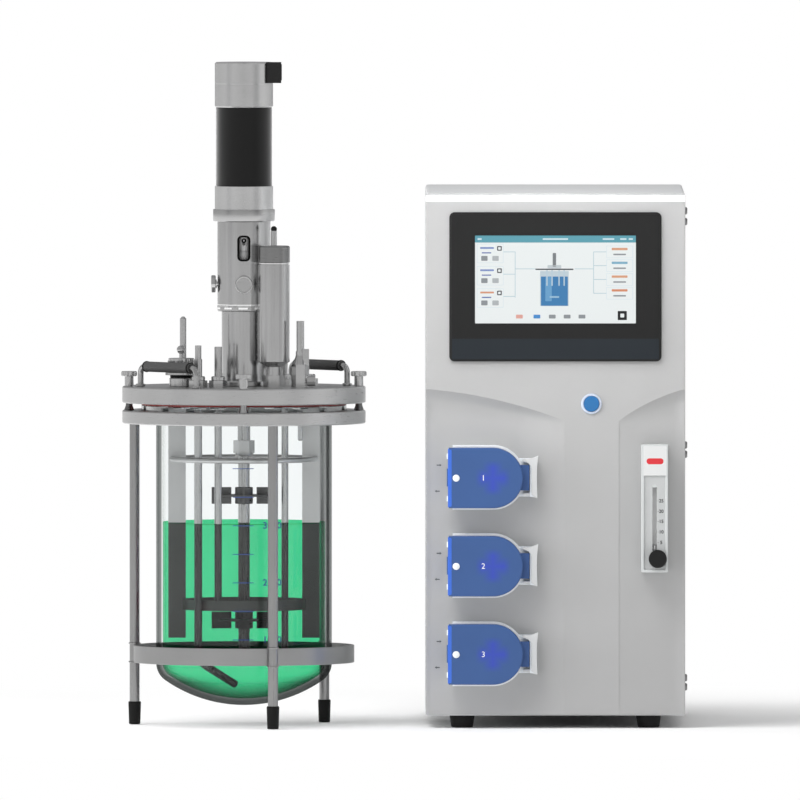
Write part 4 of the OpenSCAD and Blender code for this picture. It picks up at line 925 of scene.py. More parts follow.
@dataclass
class Vessel:
    """The glass vessel, the broth in it and the print on its wall.

    Args:
        radius: Outer radius of the wall.
        wall: Thickness of the glass.
        crown: Outer radius of the flat part of the dished bottom.
        knuckle: Outer radius of the turn between bottom and wall.
        base: Height of the underside.
        flange: Radius, underside and top of the clamped flange.
        lip: Profile of the turn from wall to flange, from the wall and the flange's underside.
        edge: Radius of the flange's edges.
        fill: Height of the broth.
        gap: Distance between broth and glass, which keeps the two skins apart.
        meniscus: Profile of the broth's edge, from the wall and its surface.
        marks: Heights of the graduations.
        figures: Heights of the numbered ones, with their volumes in millilitres.
        mark: Left end, length and half-width of a graduation, measured round the wall.
        figure_size: Height of a figure, how far it stands to the right of the middle, and how much
            it is widened.
        ink: How far the print stands off the wall.
    """

    radius: float = 83.0
    wall: float = 6.0
    crown: float = 130.0
    knuckle: float = 20.0
    base: float = 19.0
    flange: Vec3 = (97.0, 293.1, 302.9)
    lip: Sequence[Point] = ((0.0, -3.0), (0.7, -0.9), (2.4, 0.0))
    edge: float = 0.8
    fill: float = BROTH_TOP
    gap: float = 0.3
    meniscus: Sequence[Point] = ((0.0, 0.8), (-0.6, 0.3), (-2.0, 0.0))
    marks: Sequence[float] = (244.8, 217.9, 190.9, 164.0, 137.1, 110.2, 83.2)
    figures: dict[float, str] = field(
        default_factory=lambda: {190.9: "3000", 137.1: "2000", 83.2: "1000"}
    )
    mark: Vec3 = (-10.4, 19.9, 0.35)
    figure_size: Vec3 = (8.6, 27.5, 1.1)
    ink: float = 0.06

    def dish(self, inset: float, steps: int = 18) -> list[Point]:
        """Half outline of the dished bottom, from the axis out to the wall.

        Args:
            inset: How far it lies inside the outer surface.
            steps: Points on each of its two arcs.

        Returns:
            Points of (radius, height).
        """
        crown, knuckle = self.crown - inset, self.knuckle - inset
        centre = self.base + self.crown
        knee = self.radius - self.knuckle
        reach = self.crown - self.knuckle
        knee_z = centre - math.sqrt(reach**2 - knee**2)
        limit = math.asin(knee / reach)
        points = []
        for i in range(steps + 1):
            turn = limit * i / steps
            points.append((crown * math.sin(turn), centre - crown * math.cos(turn)))
        for i in range(1, steps + 1):
            turn = limit + (math.pi / 2 - limit) * i / steps
            points.append((knee + knuckle * math.sin(turn), knee_z - knuckle * math.cos(turn)))
        return points

    def build(self) -> None:
        """Makes the glass, the broth and the print, and dresses the gasket."""
        self.build_glass()
        self.build_broth()
        self.build_print()
        dress(SILICONE, "head_gasket")

    def build_glass(self) -> None:
        """Makes the glass as one closed skin, its dish, wall and flange each in their own finish."""
        reach, low, high = self.flange
        inner, soft = self.radius - self.wall, self.edge
        outside = self.dish(0.0)
        lip = [(self.radius + out, low + up) for out, up in self.lip]
        rim = [(reach - soft, low), (reach, low + soft), (reach, high - soft), (reach - soft, high)]
        mouth = [(inner + soft, high), (inner, high - soft)]
        glass = Shape("vessel_glass", VESSEL_FOOT)
        glass.wear(DISH_GLASS).lathe(outside, FINEST)
        glass.wear(GLASS).lathe(outside[-1:] + lip + rim[:1], FINEST)
        glass.wear(FLANGE_GLASS).lathe(rim + mouth, FINEST)
        glass.wear(GLASS_INNER).lathe(mouth[1:] + self.dish(self.wall)[::-1], FINEST)
        glass.make(slot="borosilicate_glass", instead_of=("glass_vessel",))

    def build_broth(self) -> None:
        """Makes the broth just inside the glass, its surface drawn up a little at the wall."""
        skin = self.dish(self.wall + self.gap)
        side = skin[-1][0]
        rise = [(side + out, self.fill + up) for out, up in self.meniscus]
        broth = Shape("culture_broth", VESSEL_FOOT).wear(BROTH)
        broth.lathe(skin + rise + [(0.0, self.fill)], FINEST).make()

    def build_print(self) -> None:
        """Rolls the graduations and their figures onto the wall."""
        ink = Shape("graduation_print", VESSEL_FOOT).wear(INK)
        roll = self.radius + self.ink
        left, length, half = self.mark
        line = [(left + length * i / 8, side, 0.0) for side in (-half, half) for i in range(9)]
        cells = [(i, i + 1, i + 10, i + 9) for i in range(8)]
        for height in self.marks:
            ink.at(0.0, 0.0, height, FRONT, roll).take(line, cells)
        size, right, widened = self.figure_size
        for height, figure in self.figures.items():
            lettering = Shape("figures").wear(INK).words(figure, size, 0.0, 0.1)
            points = [(p.x * widened + right, p.y, 0.0) for p in lettering.points]
            ink.at(0.0, 0.0, height, FRONT, roll).take(points, lettering.faces)
        ink.make()


@dataclass
class Stand:
    """Support ring, legs, brace band, clamp studs and their knobs.

    Args:
        leg_circle: Radius of the circle that the legs stand on.
        leg_turns: Their directions, in degrees.
        leg: Radius of a leg.
        band: Underside and top of the brace band.
        stud: Radius of a clamp stud.
        stud_nut: Half the width of its nut.
        washers: Profile of the conical washers on a stud, from the ring's top.
        weld_foot: Profile of a weld bead's foot, from the leg's wall and the band's edge.
        weld: Profile of the rest of it, upwards or downwards.
    """

    leg_circle: float = 107.2
    leg_turns: Sequence[float] = (-75.0, 45.0, 165.0)
    leg: float = 4.75
    band: Point = (59.5, 75.8)
    stud: float = 3.0
    stud_nut: float = 6.35
    washers: Sequence[Point] = (
        (3.0, 0.0),
        (4.5, 0.0),
        (4.7, 0.5),
        (4.3, 1.4),
        (3.3, 4.2),
        (3.15, 6.6),
        (3.0, 6.7),
    )
    weld_foot: Sequence[Point] = ((0.0, 0.0), (0.9, 0.1))
    weld: Sequence[Point] = ((1.1, 0.7), (0.6, 1.3), (0.0, 1.5))

    def build(self) -> None:
        """Dresses the stand and adds the weld beads between its legs and its brace band."""
        dress(GROUND, "support_ring")
        dress(LEG, "legs")
        self.build_studs()
        dress(STRIP, "brace_band")
        dress(RUBBER, "leg_caps")
        dress(TURNED, "clamp_knob_front", "clamp_knob_right", "clamp_knob_rear", "clamp_knob_left")
        self.build_welds()

    def build_welds(self) -> None:
        """Adds the weld beads above and below the brace band, round each leg."""
        welds = Shape("leg_weld_beads", VESSEL_FOOT).wear(STRIP)
        foot = [(self.leg + out, up) for out, up in self.weld_foot]
        above = foot + [(self.leg + out, up) for out, up in self.weld]
        below = foot + [(self.leg + out, -up) for out, up in self.weld]
        for turn in self.leg_turns:
            x = self.leg_circle * math.cos(math.radians(turn))
            y = self.leg_circle * math.sin(math.radians(turn))
            welds.at(x, y, self.band[0]).lathe(below[::-1], 24)
            welds.at(x, y, self.band[1]).lathe(above, 24)
        welds.make(slot="stainless_satin")

    def build_studs(self) -> None:
        """Makes the clamp studs with the conical spring washers that hold plate and ring apart."""
        start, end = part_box("clamp_studs")
        low, high = start[2] / MM, end[2] / MM
        reach = (end[0] - start[0]) / 2 / MM - self.stud_nut
        ring_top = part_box("support_ring")[1][2] / MM
        shank = [(0.0, low), (self.stud, low), (self.stud, high - 0.4), (self.stud - 0.4, high)]
        shank.append((0.0, high))
        studs = Shape("clamp_studs_and_washers", VESSEL_FOOT).wear(STUD)
        for x, y in ((reach, 0.0), (0.0, reach), (-reach, 0.0), (0.0, -reach)):
            # The front one is given the brighter turned finish as a painted highlight; the others stay
            # dark
            studs.wear(TURNED if y < 0 else STUD).at(x, y, 0.0).lathe(shank, SMALL)
            studs.lathe([(radius, ring_top + up) for radius, up in self.washers], SMALL)
        studs.make(slot="stainless_rod", instead_of=("clamp_studs",))


@dataclass
class Head:
    """Head plate and what stands on it: handles, condenser, probes, sampler and ports.

    Args:
        plate_low: Height of the plate's underside.
        ports: Places of the fittings from the vessel's axis, with the size of each lock nut.
        nut: Underside, top, edge radius and bore of a lock nut, from the plate's underside.
        grip: Two ends of the left handle's grip from the vessel's axis; the right one is its half turn.
        grip_z: Height of the grips.
        grip_ring: Profile of the ring at each end of a grip.
        ring_steps: Where the two rings lie, from the grip's ends.
        sampler_z: Height that the sampler's sleeve is measured from.
        sleeve: Outer and inner radius, underside and top of the sampler's sleeve.
        knurls: How many teeth the sleeve has, and how deep they are.
        sleeve_ring: Outer and inner radius, underside and top of the black ring under the sleeve.
    """

    plate_low: float = 305.0
    ports: Sequence[Vec3] = (
        (-43.0, -44.2, 15.0),
        (-24.2, -43.75, 15.0),
        (38.7, 0.0, 14.0),
        (*CONDENSER, 17.5),
        (53.4, -40.0, 14.5),
        (*SAMPLER, 17.0),
        (60.0, 30.0, 17.0),
        (-50.0, 46.0, 17.0),
        (2.0, 64.0, 17.0),
    )
    nut: Vec4 = (-5.2, -0.1, 0.5, 4.2)
    grip: tuple[Point, Point] = ((-97.5, -10.2), (-44.4, -87.9))
    grip_z: float = 339.4
    grip_ring: Sequence[Point] = ((4.0, 0.0), (5.2, 0.3), (5.3, 1.1), (5.2, 1.9), (4.0, 2.2))
    ring_steps: Point = (9.3, -11.5)
    sampler_z: float = 320.5
    sleeve: Vec4 = (12.9, 11.9, 15.0, 24.6)
    knurls: tuple[int, float] = (60, 0.45)
    sleeve_ring: Vec4 = (10.6, 9.6, 8.3, 10.9)

    def build(self) -> None:
        """Dresses the head and adds the lock nuts, the sampler's knurl and the grips' ends."""
        dress(GROUND, "head_plate")
        dress(ROD, "handles")
        dress(GRIP, "handle_grips")
        dress(TUBE, "condenser")
        dress(RUBBER, "condenser_plug")
        dress(TURNED, "port_nuts", "foam_probe", "sampler")
        nuts = Shape("lock_nuts_under_plate", (VESSEL_X, VESSEL_Y, self.plate_low)).wear(TURNED)
        low, high, soft, bore = self.nut
        for x, y, across in self.ports:
            nuts.at(x, y, 0.0).plate(polygon(6, across), low, high, soft, [circle(bore, SMALL)])
        nuts.make(slot="stainless_turned")
        self.build_sampler()
        self.build_grip_rings()

    def build_sampler(self) -> None:
        """Adds the knurled sleeve and the black ring of the needle sampler."""
        spot = (VESSEL_X + SAMPLER[0], VESSEL_Y + SAMPLER[1], self.sampler_z)
        ring = Shape("sampler_knurled_sleeve", spot).wear(TURNED)
        outer, inner, low, high = self.sleeve
        ring.plate(knurl(outer, *self.knurls), low, high, 0.0, [circle(inner)])
        outer, inner, low, high = self.sleeve_ring
        ring.wear(RUBBER).plate(circle(outer), low, high, 0.5, [circle(inner)])
        ring.make(slot="stainless_turned")

    def build_grip_rings(self) -> None:
        """Adds the dark end rings of the two handle grips."""
        low, high = (Vector(end) for end in self.grip)
        along = (high - low).normalized()
        lying = Matrix.Rotation(math.atan2(along.y, along.x), 4, "Z") @ RIGHT
        rings = Shape("grip_end_rings", (VESSEL_X, VESSEL_Y, self.grip_z)).wear(RUBBER)
        for side, way in ((1, lying), (-1, Matrix.Rotation(math.pi, 4, "Z") @ lying)):
            for end, step in zip((low, high), self.ring_steps):
                spot = (end + along * step) * side
                rings.at(spot.x, spot.y, 0.0, way).lathe(self.grip_ring, 40)
        rings.make(slot="rubber_grey")


@dataclass
class Drive:
    """Motor, its base, the drive tube with its window, and the coupling inside.

    Args:
        tube: Radius of the drive tube.
        window: Height of the middle of its window.
        seal: Width, height and corner of the outer and the inner line of the window's seal.
        seal_high: Heights of the seal's outer foot and its top above the tube.
        set_screw: How far the coupling's set screw lies ahead of the axis and above the window.
        cap_top: Height of the motor's top.
        screws: Radius of the circle of the cap's screws, and their directions in degrees.
        cap_seam: Height of the cap's seam above its underside.
        condenser_seam: Radius and height of the seam under the condenser's cap.
        bead: Cross-section of a buffed seam, from the surface it lies on.
        chamfer: Cross-section of the tube's lower edge, from its wall and its foot.
        slotted_ring: Outer and inner radius, underside and top of the ring under the tube.
        flange_sleeve: Profile of the ground sleeve on the motor's flange.
        cap_sleeve: Profile of the sleeve on the condenser's cap.
        knob_rim: Profile of the front lock knob's rim, from its face.
        connector: Place of the motor's connector from the vessel's axis and the bench.
        ribs: Where the connector's ribs lie, from its middle backwards.
    """

    tube: float = 25.0
    window: float = 451.1
    seal: tuple[Vec3, Vec3] = ((12.3, 24.4, 4.3), (8.7, 20.8, 2.5))
    seal_high: Point = (0.1, 0.7)
    set_screw: Point = (15.0, 7.2)
    cap_top: float = 626.7
    screws: tuple[float, Sequence[float]] = (21.0, (45.0, 135.0, 225.0, 290.0))
    cap_seam: float = 22.3
    condenser_seam: Point = (14.9, 437.4)
    bead: Sequence[Point] = ((-0.7, -0.5), (-0.05, -0.35), (0.0, 0.0), (-0.05, 0.35), (-0.7, 0.5))
    chamfer: Sequence[Point] = ((-1.4, -0.1), (-0.3, 0.1), (0.05, 1.0), (0.05, 2.0), (0.0, 2.2))
    slotted_ring: Vec4 = (25.5, 24.4, 393.3, 396.9)
    flange_sleeve: Sequence[Point] = ((29.0, 477.0), (29.15, 477.4), (29.15, 487.2), (29.0, 487.6))
    cap_sleeve: Sequence[Point] = ((14.8, 438.2), (15.05, 438.5), (15.05, 452.6), (14.2, 453.7))
    knob_rim: Sequence[Point] = (
        (8.3, -1.2),
        (8.35, -0.4),
        (8.1, 0.3),
        (7.5, 0.55),
        (6.9, 0.4),
        (6.6, -0.2),
    )
    connector: Vec3 = (28.3, -8.0, 607.2)
    ribs: Sequence[float] = (-8.6, -5.2, -1.8, 1.6, 5.0, 8.4)

    def build(self) -> None:
        """Dresses the drive and adds its seal, screws, ribs, seams, sleeves and knob rim."""
        dress(ANODISED, "motor_cap", "motor_base")
        dress(MOTOR_PAINT, "motor_case")
        dress(NYLON, "motor_connector")
        dress(TUBE, "drive_tube", "bearing_housing")
        dress(RACE, "shaft_bearings")
        dress(ALLOY, "drive_coupling")
        dress(TURNED, "lock_knob_front", "lock_knob_side")
        self.build_seal()
        self.build_screws()
        self.build_connector()
        self.build_seams()
        self.build_sleeves()
        self.build_knob_rim()
        self.build_set_screw()

    def build_seams(self) -> None:
        """Adds the bright seams of motor, tube and condenser, and the slotted ring under the tube."""
        low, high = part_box("motor_cap")
        cap = (high[0] - low[0]) / 2 / MM
        seams = Shape("polished_seams", VESSEL_FOOT).wear(POLISHED)
        seams.at(0, 0, low[2] / MM + self.cap_seam).lathe([(cap + r, z) for r, z in self.bead], FINE)
        seams.at(0, 0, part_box("drive_tube")[0][2] / MM)
        seams.lathe([(self.tube + r, z) for r, z in self.chamfer], FINE)
        outer, inner, under, top = self.slotted_ring
        seams.at(0, 0, 0).plate(knurl(outer, 10, 0.9), under, top, 0.2, [circle(inner)])
        radius, height = self.condenser_seam
        seams.at(*CONDENSER, height).lathe([(radius + r, z) for r, z in self.bead])
        seams.make(slot="stainless_turned")

    def build_sleeves(self) -> None:
        """Adds the ground sleeves on the motor's flange and on the condenser's cap."""
        sleeves = Shape("drive_and_condenser_sleeves", VESSEL_FOOT).wear(GROUND)
        sleeves.lathe(self.flange_sleeve, FINE)
        sleeves.wear(SLEEVE).at(*CONDENSER, 0.0).lathe(self.cap_sleeve)
        sleeves.make(slot="stainless_satin")

    def build_knob_rim(self) -> None:
        """Adds the ground rim of the front lock knob."""
        low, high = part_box("lock_knob_front")
        spot = (VESSEL_X, low[1] / MM, (low[2] + high[2]) / 2 / MM)
        rim = Shape("lock_knob_rim", spot).wear(GROUND).at(0, 0, 0, FRONT).lathe(self.knob_rim)
        rim.make("front_lock_knob", "stainless_turned")

    def build_set_screw(self) -> None:
        """Adds the black set screw of the coupling, which shows in the window."""
        ahead, up = self.set_screw
        screw = Shape("coupling_set_screw", (VESSEL_X, VESSEL_Y - ahead, self.window + up))
        screw.wear(SEAL).at(0, 0, 0, FRONT)
        screw.plate(circle(2.3, SMALL), -0.8, 0.15, 0.2, [polygon(6, 1.6)])
        screw.plate(circle(1.2, 24), -0.9, -0.5)
        screw.make("stirrer", "rubber_black")

    def build_seal(self) -> None:
        """Adds the rubber lip round the window, rolled onto the tube."""
        outer, inner = (rounded(*line) for line in self.seal)
        points = [(x, y, h) for h in self.seal_high for line in (outer, inner) for x, y in line]
        count = len(outer)
        # Where the low inner, the high outer and the high inner line start
        b, c, d = count, 2 * count, 3 * count
        faces = []
        for i in range(count):
            j = (i + 1) % count
            faces += [(c + i, c + j, d + j, d + i), (i, j, c + j, c + i), (b + j, b + i, d + i, d + j)]
        seal = Shape("window_seal", (VESSEL_X, VESSEL_Y, self.window)).wear(SEAL)
        seal.at(0, 0, 0, FRONT, self.tube).take(points, faces).make(slot="rubber_black")

    def build_screws(self) -> None:
        """Adds the socket screws on the motor's top."""
        screws = Shape("drive_socket_screws", VESSEL_FOOT).wear(ZINC)
        reach, turns = self.screws
        for turn in map(math.radians, turns):
            screws.at(reach * math.cos(turn), reach * math.sin(turn), self.cap_top - 0.9)
            screws.plate(circle(2.6, SMALL), 0.0, 0.8, 0.3, [polygon(6, 2.4)])
        screws.make(slot="zinc_steel")

    def build_connector(self) -> None:
        """Adds the ribs and the cable seal of the motor's connector."""
        x, y, z = self.connector
        ribs = Shape("connector_ribs", (VESSEL_X + x, VESSEL_Y + y, z)).wear(NYLON)
        for y in self.ribs:
            ribs.at(7.0, y, 10.0, RIGHT).plate(rounded(15.0, 1.5, 0.5), -0.2, 0.5, 0.2)
        ribs.at(0, 0, 19.4).plate(rounded(11.0, 19.0, 1.5), -0.1, 0.1)
        ribs.make(slot="plastic_black")


@dataclass
class Internals:
    """What hangs in the vessel: stirrer, baffles, gas ring, harvest tube and thermometer pocket.

    Args:
        bush: Profile of the bush at the foot of the shaft.
    """

    bush: Sequence[Point] = ((0.0, 71.5), (4.6, 71.5), (5.4, 72.3), (5.4, 86.0), (4.6, 86.6))

    def build(self) -> None:
        """Dresses the parts, which painted shade darkens below the broth's surface."""
        dress(ROD_BROTH_SHADED, "stirrer_shaft", "sparger", "harvest_tube", "thermowell")
        dress(STRIP_BROTH_SHADED, "baffle_cage")
        dress(TURNED, "shaft_collar")
        dress(CAST_BROTH_SHADED, "impellers")
        foot = Shape("shaft_foot_bush", VESSEL_FOOT).wear(ROD_BROTH_SHADED).lathe(self.bush, 48)
        foot.make("stirrer", "stainless_rod")


# ---------------------------------------------------------------- the cabinet


CABINET_X = middle("cabinet_shell")[0]
CABINET_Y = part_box("front_panel")[0][1] / MM
CABINET_FRONT = (CABINET_X, CABINET_Y, 0.0)


def ease(value: float) -> float:
    """A smooth step from 0 to 1."""
    value = min(1.0, max(0.0, value))
    return value * value * (3 - 2 * value)


@dataclass
class CabinetBody:
    """Sheet steel shell, feet, screws and the moulded front panel with its swept step.

    Args:
        half_width: Half the front panel's width.
        bottom: Height of its lower edge.
        top: Height of its upper edge.
        bevel: Height of the slope along its top, and how steeply that slope falls back.
        column: Left and right edge of the raised column.
        ramps: Beside the column's left and right edge, the step's share of the relief and the width
            over which the rest follows.
        edge_z: Height of the sweep at the panel's edges.
        column_z: Height of the sweep at the column.
        radii: Radii of the left and the right sweep.
        fall: Height over which the surface falls back below the sweep, at the column, and how much
            that grows with each millimetre that the sweep lies higher.
        swell: Share of the relief that the dip under the sweep adds, and its height in falls.
        fade: Width beside the panel's edges over which the dip fades out.
        corner: Radius of the panel's edges.
        lift: How far the fields come forward at the panel's edges, and over what width.
        skin: Thickness of the panel.
        grid: Width of its faces.
        close: Heights below the sweep at which it has points.
        side_wall: Distance of the shell's right side from the middle.
        side_screws: Depth and height of the upper screw of each pair on that side.
        button_field: Left, right, lower and upper edge of the flat field round the button.
        button_hole: Radius of the hole that the button stands in.
        strip: How far the white strip of painted highlight stands off the slope, and the slope off its
            upper edge.
    """

    half_width: float = 122.4
    bottom: float = 12.3
    top: float = 502.4
    bevel: Point = (5.8, 0.85)
    column: Point = (8.2, 59.9)
    ramps: tuple[Point, Point] = ((0.04, 45.0), (0.06, 56.0))
    edge_z: float = 319.8
    column_z: float = 289.8
    radii: Point = (459.0, 185.0)
    fall: Point = (6.0, 0.2)
    swell: Point = (0.24, 3.2)
    fade: float = 9.0
    corner: float = 0.5
    lift: Point = (0.55, 5.0)
    skin: float = 3.0
    grid: float = 2.0
    close: Sequence[float] = (
        *(34.0, 28.0, 23.0, 19.0, 15.5, 12.5, 10.0),
        *(7.8, 5.8, 4.0, 2.5, 1.3, 0.4, 0.0),
    )
    side_wall: float = 122.5
    side_screws: Sequence[Point] = ((22.0, 487.3), (22.0, 266.3), (22.0, 46.6))
    button_field: Vec4 = (23.0, 45.0, 294.8, 316.8)
    button_hole: float = 8.9
    strip: Point = (0.25, 0.2)

    def sweep(self, x: float) -> float:
        """Height of the step's upper edge at a place across the panel.

        Args:
            x: Distance from the panel's middle.

        Returns:
            The height, which is far below the panel within the column.
        """
        if self.column[0] < x < self.column[1]:
            return self.column_z
        side = 0 if x <= self.column[0] else 1
        edge = -self.half_width if side == 0 else self.half_width
        start, end = Vector((edge, self.edge_z)), Vector((self.column[side], self.column_z))
        chord = end - start
        half = chord.length / 2
        away = Vector((-chord.y, chord.x)).normalized()
        if away.y > 0:
            away = -away
        centre = (start + end) / 2 + away * math.sqrt(self.radii[side] ** 2 - half**2)
        return centre.y + math.sqrt(max(0.0, self.radii[side] ** 2 - (x - centre.x) ** 2))

    def depth(self, x: float, z: float) -> float:
        """How far the front surface lies behind the panel's front plane at a place.

        Args:
            x: Distance from the panel's middle.
            z: Height above the bench.

        Returns:
            The depth, 0 on the upper field and the column and RELIEF in the lower fields.
        """
        left, right = self.column
        across = 0.0
        if not left <= x <= right:
            share, width = self.ramps[0 if x < left else 1]
            across = min(1.0, share + max(left - x, x - right) / width)
        line = self.sweep(x)
        below = max(0.0, line - z)
        fall = self.fall[0] + self.fall[1] * (line - self.column_z)
        down = 1 - (1 - min(1.0, below / fall)) ** 2
        share, reach = self.swell[0], self.swell[1] * fall
        if below < reach:
            inward = ease((self.half_width - abs(x)) / self.fade)
            down += share * inward * math.sin(math.pi * below / reach) ** 2
        hollow = RELIEF * down * across
        gaps = (self.half_width - abs(x), z - self.bottom)
        hollow -= min(hollow, self.lift[0]) * (1 - ease(min(gaps) / self.lift[1]))
        height, steep = self.bevel
        return hollow + max(0.0, z - (self.top - height)) * steep + max(map(self.round_in, gaps))

    def round_in(self, gap: float) -> float:
        """How far the round edge falls back at a distance from the panel's side or bottom."""
        inside = max(0.0, self.corner - gap)
        return self.corner - math.sqrt(max(0.0, self.corner**2 - inside**2))

    def build_panel(self) -> None:
        """Makes the front panel as one moulded skin with turned-back edges, and the white strip of
        painted highlight along its top.
        """
        left, right, low, high = self.button_field
        xs = self.stops(-self.half_width, self.half_width, (*self.column, left, right))
        columns = [self.rows(x) for x in xs]
        wide, tall = len(xs), len(columns[0])
        points = []
        for row in zip(*columns):
            points += [(x, self.depth(x, z), z) for x, z in zip(xs, row)]
        faces = []
        for j in range(tall - 1):
            for i in range(wide - 1):
                a = j * wide + i
                x, z = (xs[i] + xs[i + 1]) / 2, (columns[i][j] + columns[i][j + 1]) / 2
                if not (left < x < right and low < z < high):
                    faces.append((a, a + 1, a + wide + 1, a + wide))
        rim = list(range(wide))
        rim += [j * wide + wide - 1 for j in range(1, tall)]
        rim += [(tall - 1) * wide + i for i in range(wide - 2, -1, -1)]
        rim += [j * wide for j in range(tall - 2, 0, -1)]
        first, back = len(points), RELIEF + self.skin
        points += [(points[i][0], back, points[i][2]) for i in rim]
        for i, here in enumerate(rim):
            j = (i + 1) % len(rim)
            faces.append((rim[j], here, first + i, first + j))
        panel = Shape("front_panel_moulding", CABINET_FRONT).wear(PANEL).take(points, faces)
        corners = [(left, low), (right, low), (right, high), (left, high)]
        hole = circle(self.button_hole, 64, (left + right) / 2, (low + high) / 2)
        panel.at(0, 0, 0, FRONT).plate(corners, -back, 0.0, 0.0, [hole])
        # The white strip along the top slope is painted highlight
        self.lay_strip(panel.wear(WHITE_TRIM_AND_HIGHLIGHT).at(0, 0, 0))
        panel.make(slot="cabinet_paint", instead_of=("front_panel",), sharp=24)

    def lay_strip(self, panel: Shape) -> None:
        """Lays the white strip of painted highlight on the slope along the panel's top.

        Args:
            panel: The panel.
        """
        height, steep = self.bevel
        shoulder = self.top - height
        off, thin = self.strip
        profile = [(-off, shoulder - thin), (-off, shoulder), (steep * height - thin, self.top)]
        profile.append((height, self.top))
        ends = (-self.half_width + 0.3, self.half_width - 0.3)
        corners = [(x, y, z) for y, z in profile for x in ends]
        panel.take(corners, [(i, i + 1, i + 3, i + 2) for i in (0, 2, 4)])

    def rows(self, x: float) -> list[float]:
        """Heights of the panel's points at a place across it, one of them on the sweep.

        Args:
            x: Distance from the panel's middle.

        Returns:
            The heights, from the bottom.
        """
        line = self.sweep(x)
        foot, shoulder = line - self.close[0], self.top - self.bevel[0]
        heights = [self.bottom, self.bottom + 0.2, self.bottom + 0.5]
        heights += [self.bottom + (foot - self.bottom) * i / 24 for i in range(1, 24)]
        heights += [line - step for step in self.close] + [line + 0.4]
        upper = shoulder - self.column_z
        shares = [(side - self.column_z) / upper for side in self.button_field[2:]]
        shares += [0.06, 0.09] + [i / 18 for i in range(3, 18)]
        heights += [line + (shoulder - line) * share for share in sorted(shares)]
        return heights + [shoulder - 0.4, shoulder, shoulder + 0.4, self.top]

    def stops(self, low: float, high: float, fixed: Sequence[float]) -> list[float]:
        """Even stops from low to high that also fall on the fixed places and near both ends.

        Args:
            low: The first.
            high: The last.
            fixed: Places that are to be among them.

        Returns:
            The stops.
        """
        count = round((high - low) / self.grid)
        places = {round(low + (high - low) * i / count, 3) for i in range(count + 1)}
        for place in fixed:
            places |= {place - 0.4, place, place + 0.4}
        places |= {low + 0.2, low + 0.5, high - 0.2, high - 0.5}
        return sorted(places)

    def build(self) -> None:
        """Dresses the shell and its fittings and makes the front panel."""
        dress(PAINT, "cabinet_shell", "rear_panel")
        dress(RUBBER, "cabinet_feet")
        dress(STUD, "panel_hardware")
        dress(NYLON, "power_inlet", "mains_switch")
        dress(ZINC, "power_supply")
        dress(BOARD, "control_board")
        self.build_panel()
        self.build_side_screws()

    def build_side_screws(self) -> None:
        """Adds the second screw of each pair on the right side, above the first."""
        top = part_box("panel_hardware")[1][0] / MM - CABINET_X - self.side_wall
        head = [(3.5, 0.0), (3.5, 1.0), (2.5, top), (0.0, top)]
        screws = Shape("upper_side_screws", CABINET_FRONT).wear(STUD)
        for place in self.side_screws:
            screws.at(self.side_wall, *place, RIGHT).lathe(head, SMALL)
        screws.make(slot="zinc_steel")


class Lit(Enum):
    """Colours of the picture's fields."""

    PAPER = "#eef3f3"
    HEADER = "#5fa3b3"
    CAPTION = "#cfe6ec"
    TILE = "#dbe8ee"
    VIOLET = "#7d93c9"
    COPPER = "#d99a76"
    CHARCOAL = "#4a4e52"
    GREY = "#8f9498"
    PALE_GREY = "#b3b8bb"
    INDIGO = "#5b6fae"
    LINK = "#a9c6d2"
    AMBER = "#dca27f"
    SKY = "#7fb1c9"
    CORAL = "#d98f6c"
    PINK = "#e2a79b"
    BLUE = "#4a8fd0"
    BLACK = "#1c1e20"
    LID = "#4b4f53"
    MOTOR = "#7c8084"
    NECK = "#c6ced2"
    WALL = "#c3d2da"
    LIQUID = "#3f7fb4"
    GLARE = "#6aa2cd"
    PROBE = "#bcd0dc"
    FIGURE = "#9bc0d8"


# One field of the picture: colour, middle, size, and how many fields it lies on, counting itself
Patch = tuple[Lit, Point, Point, int]


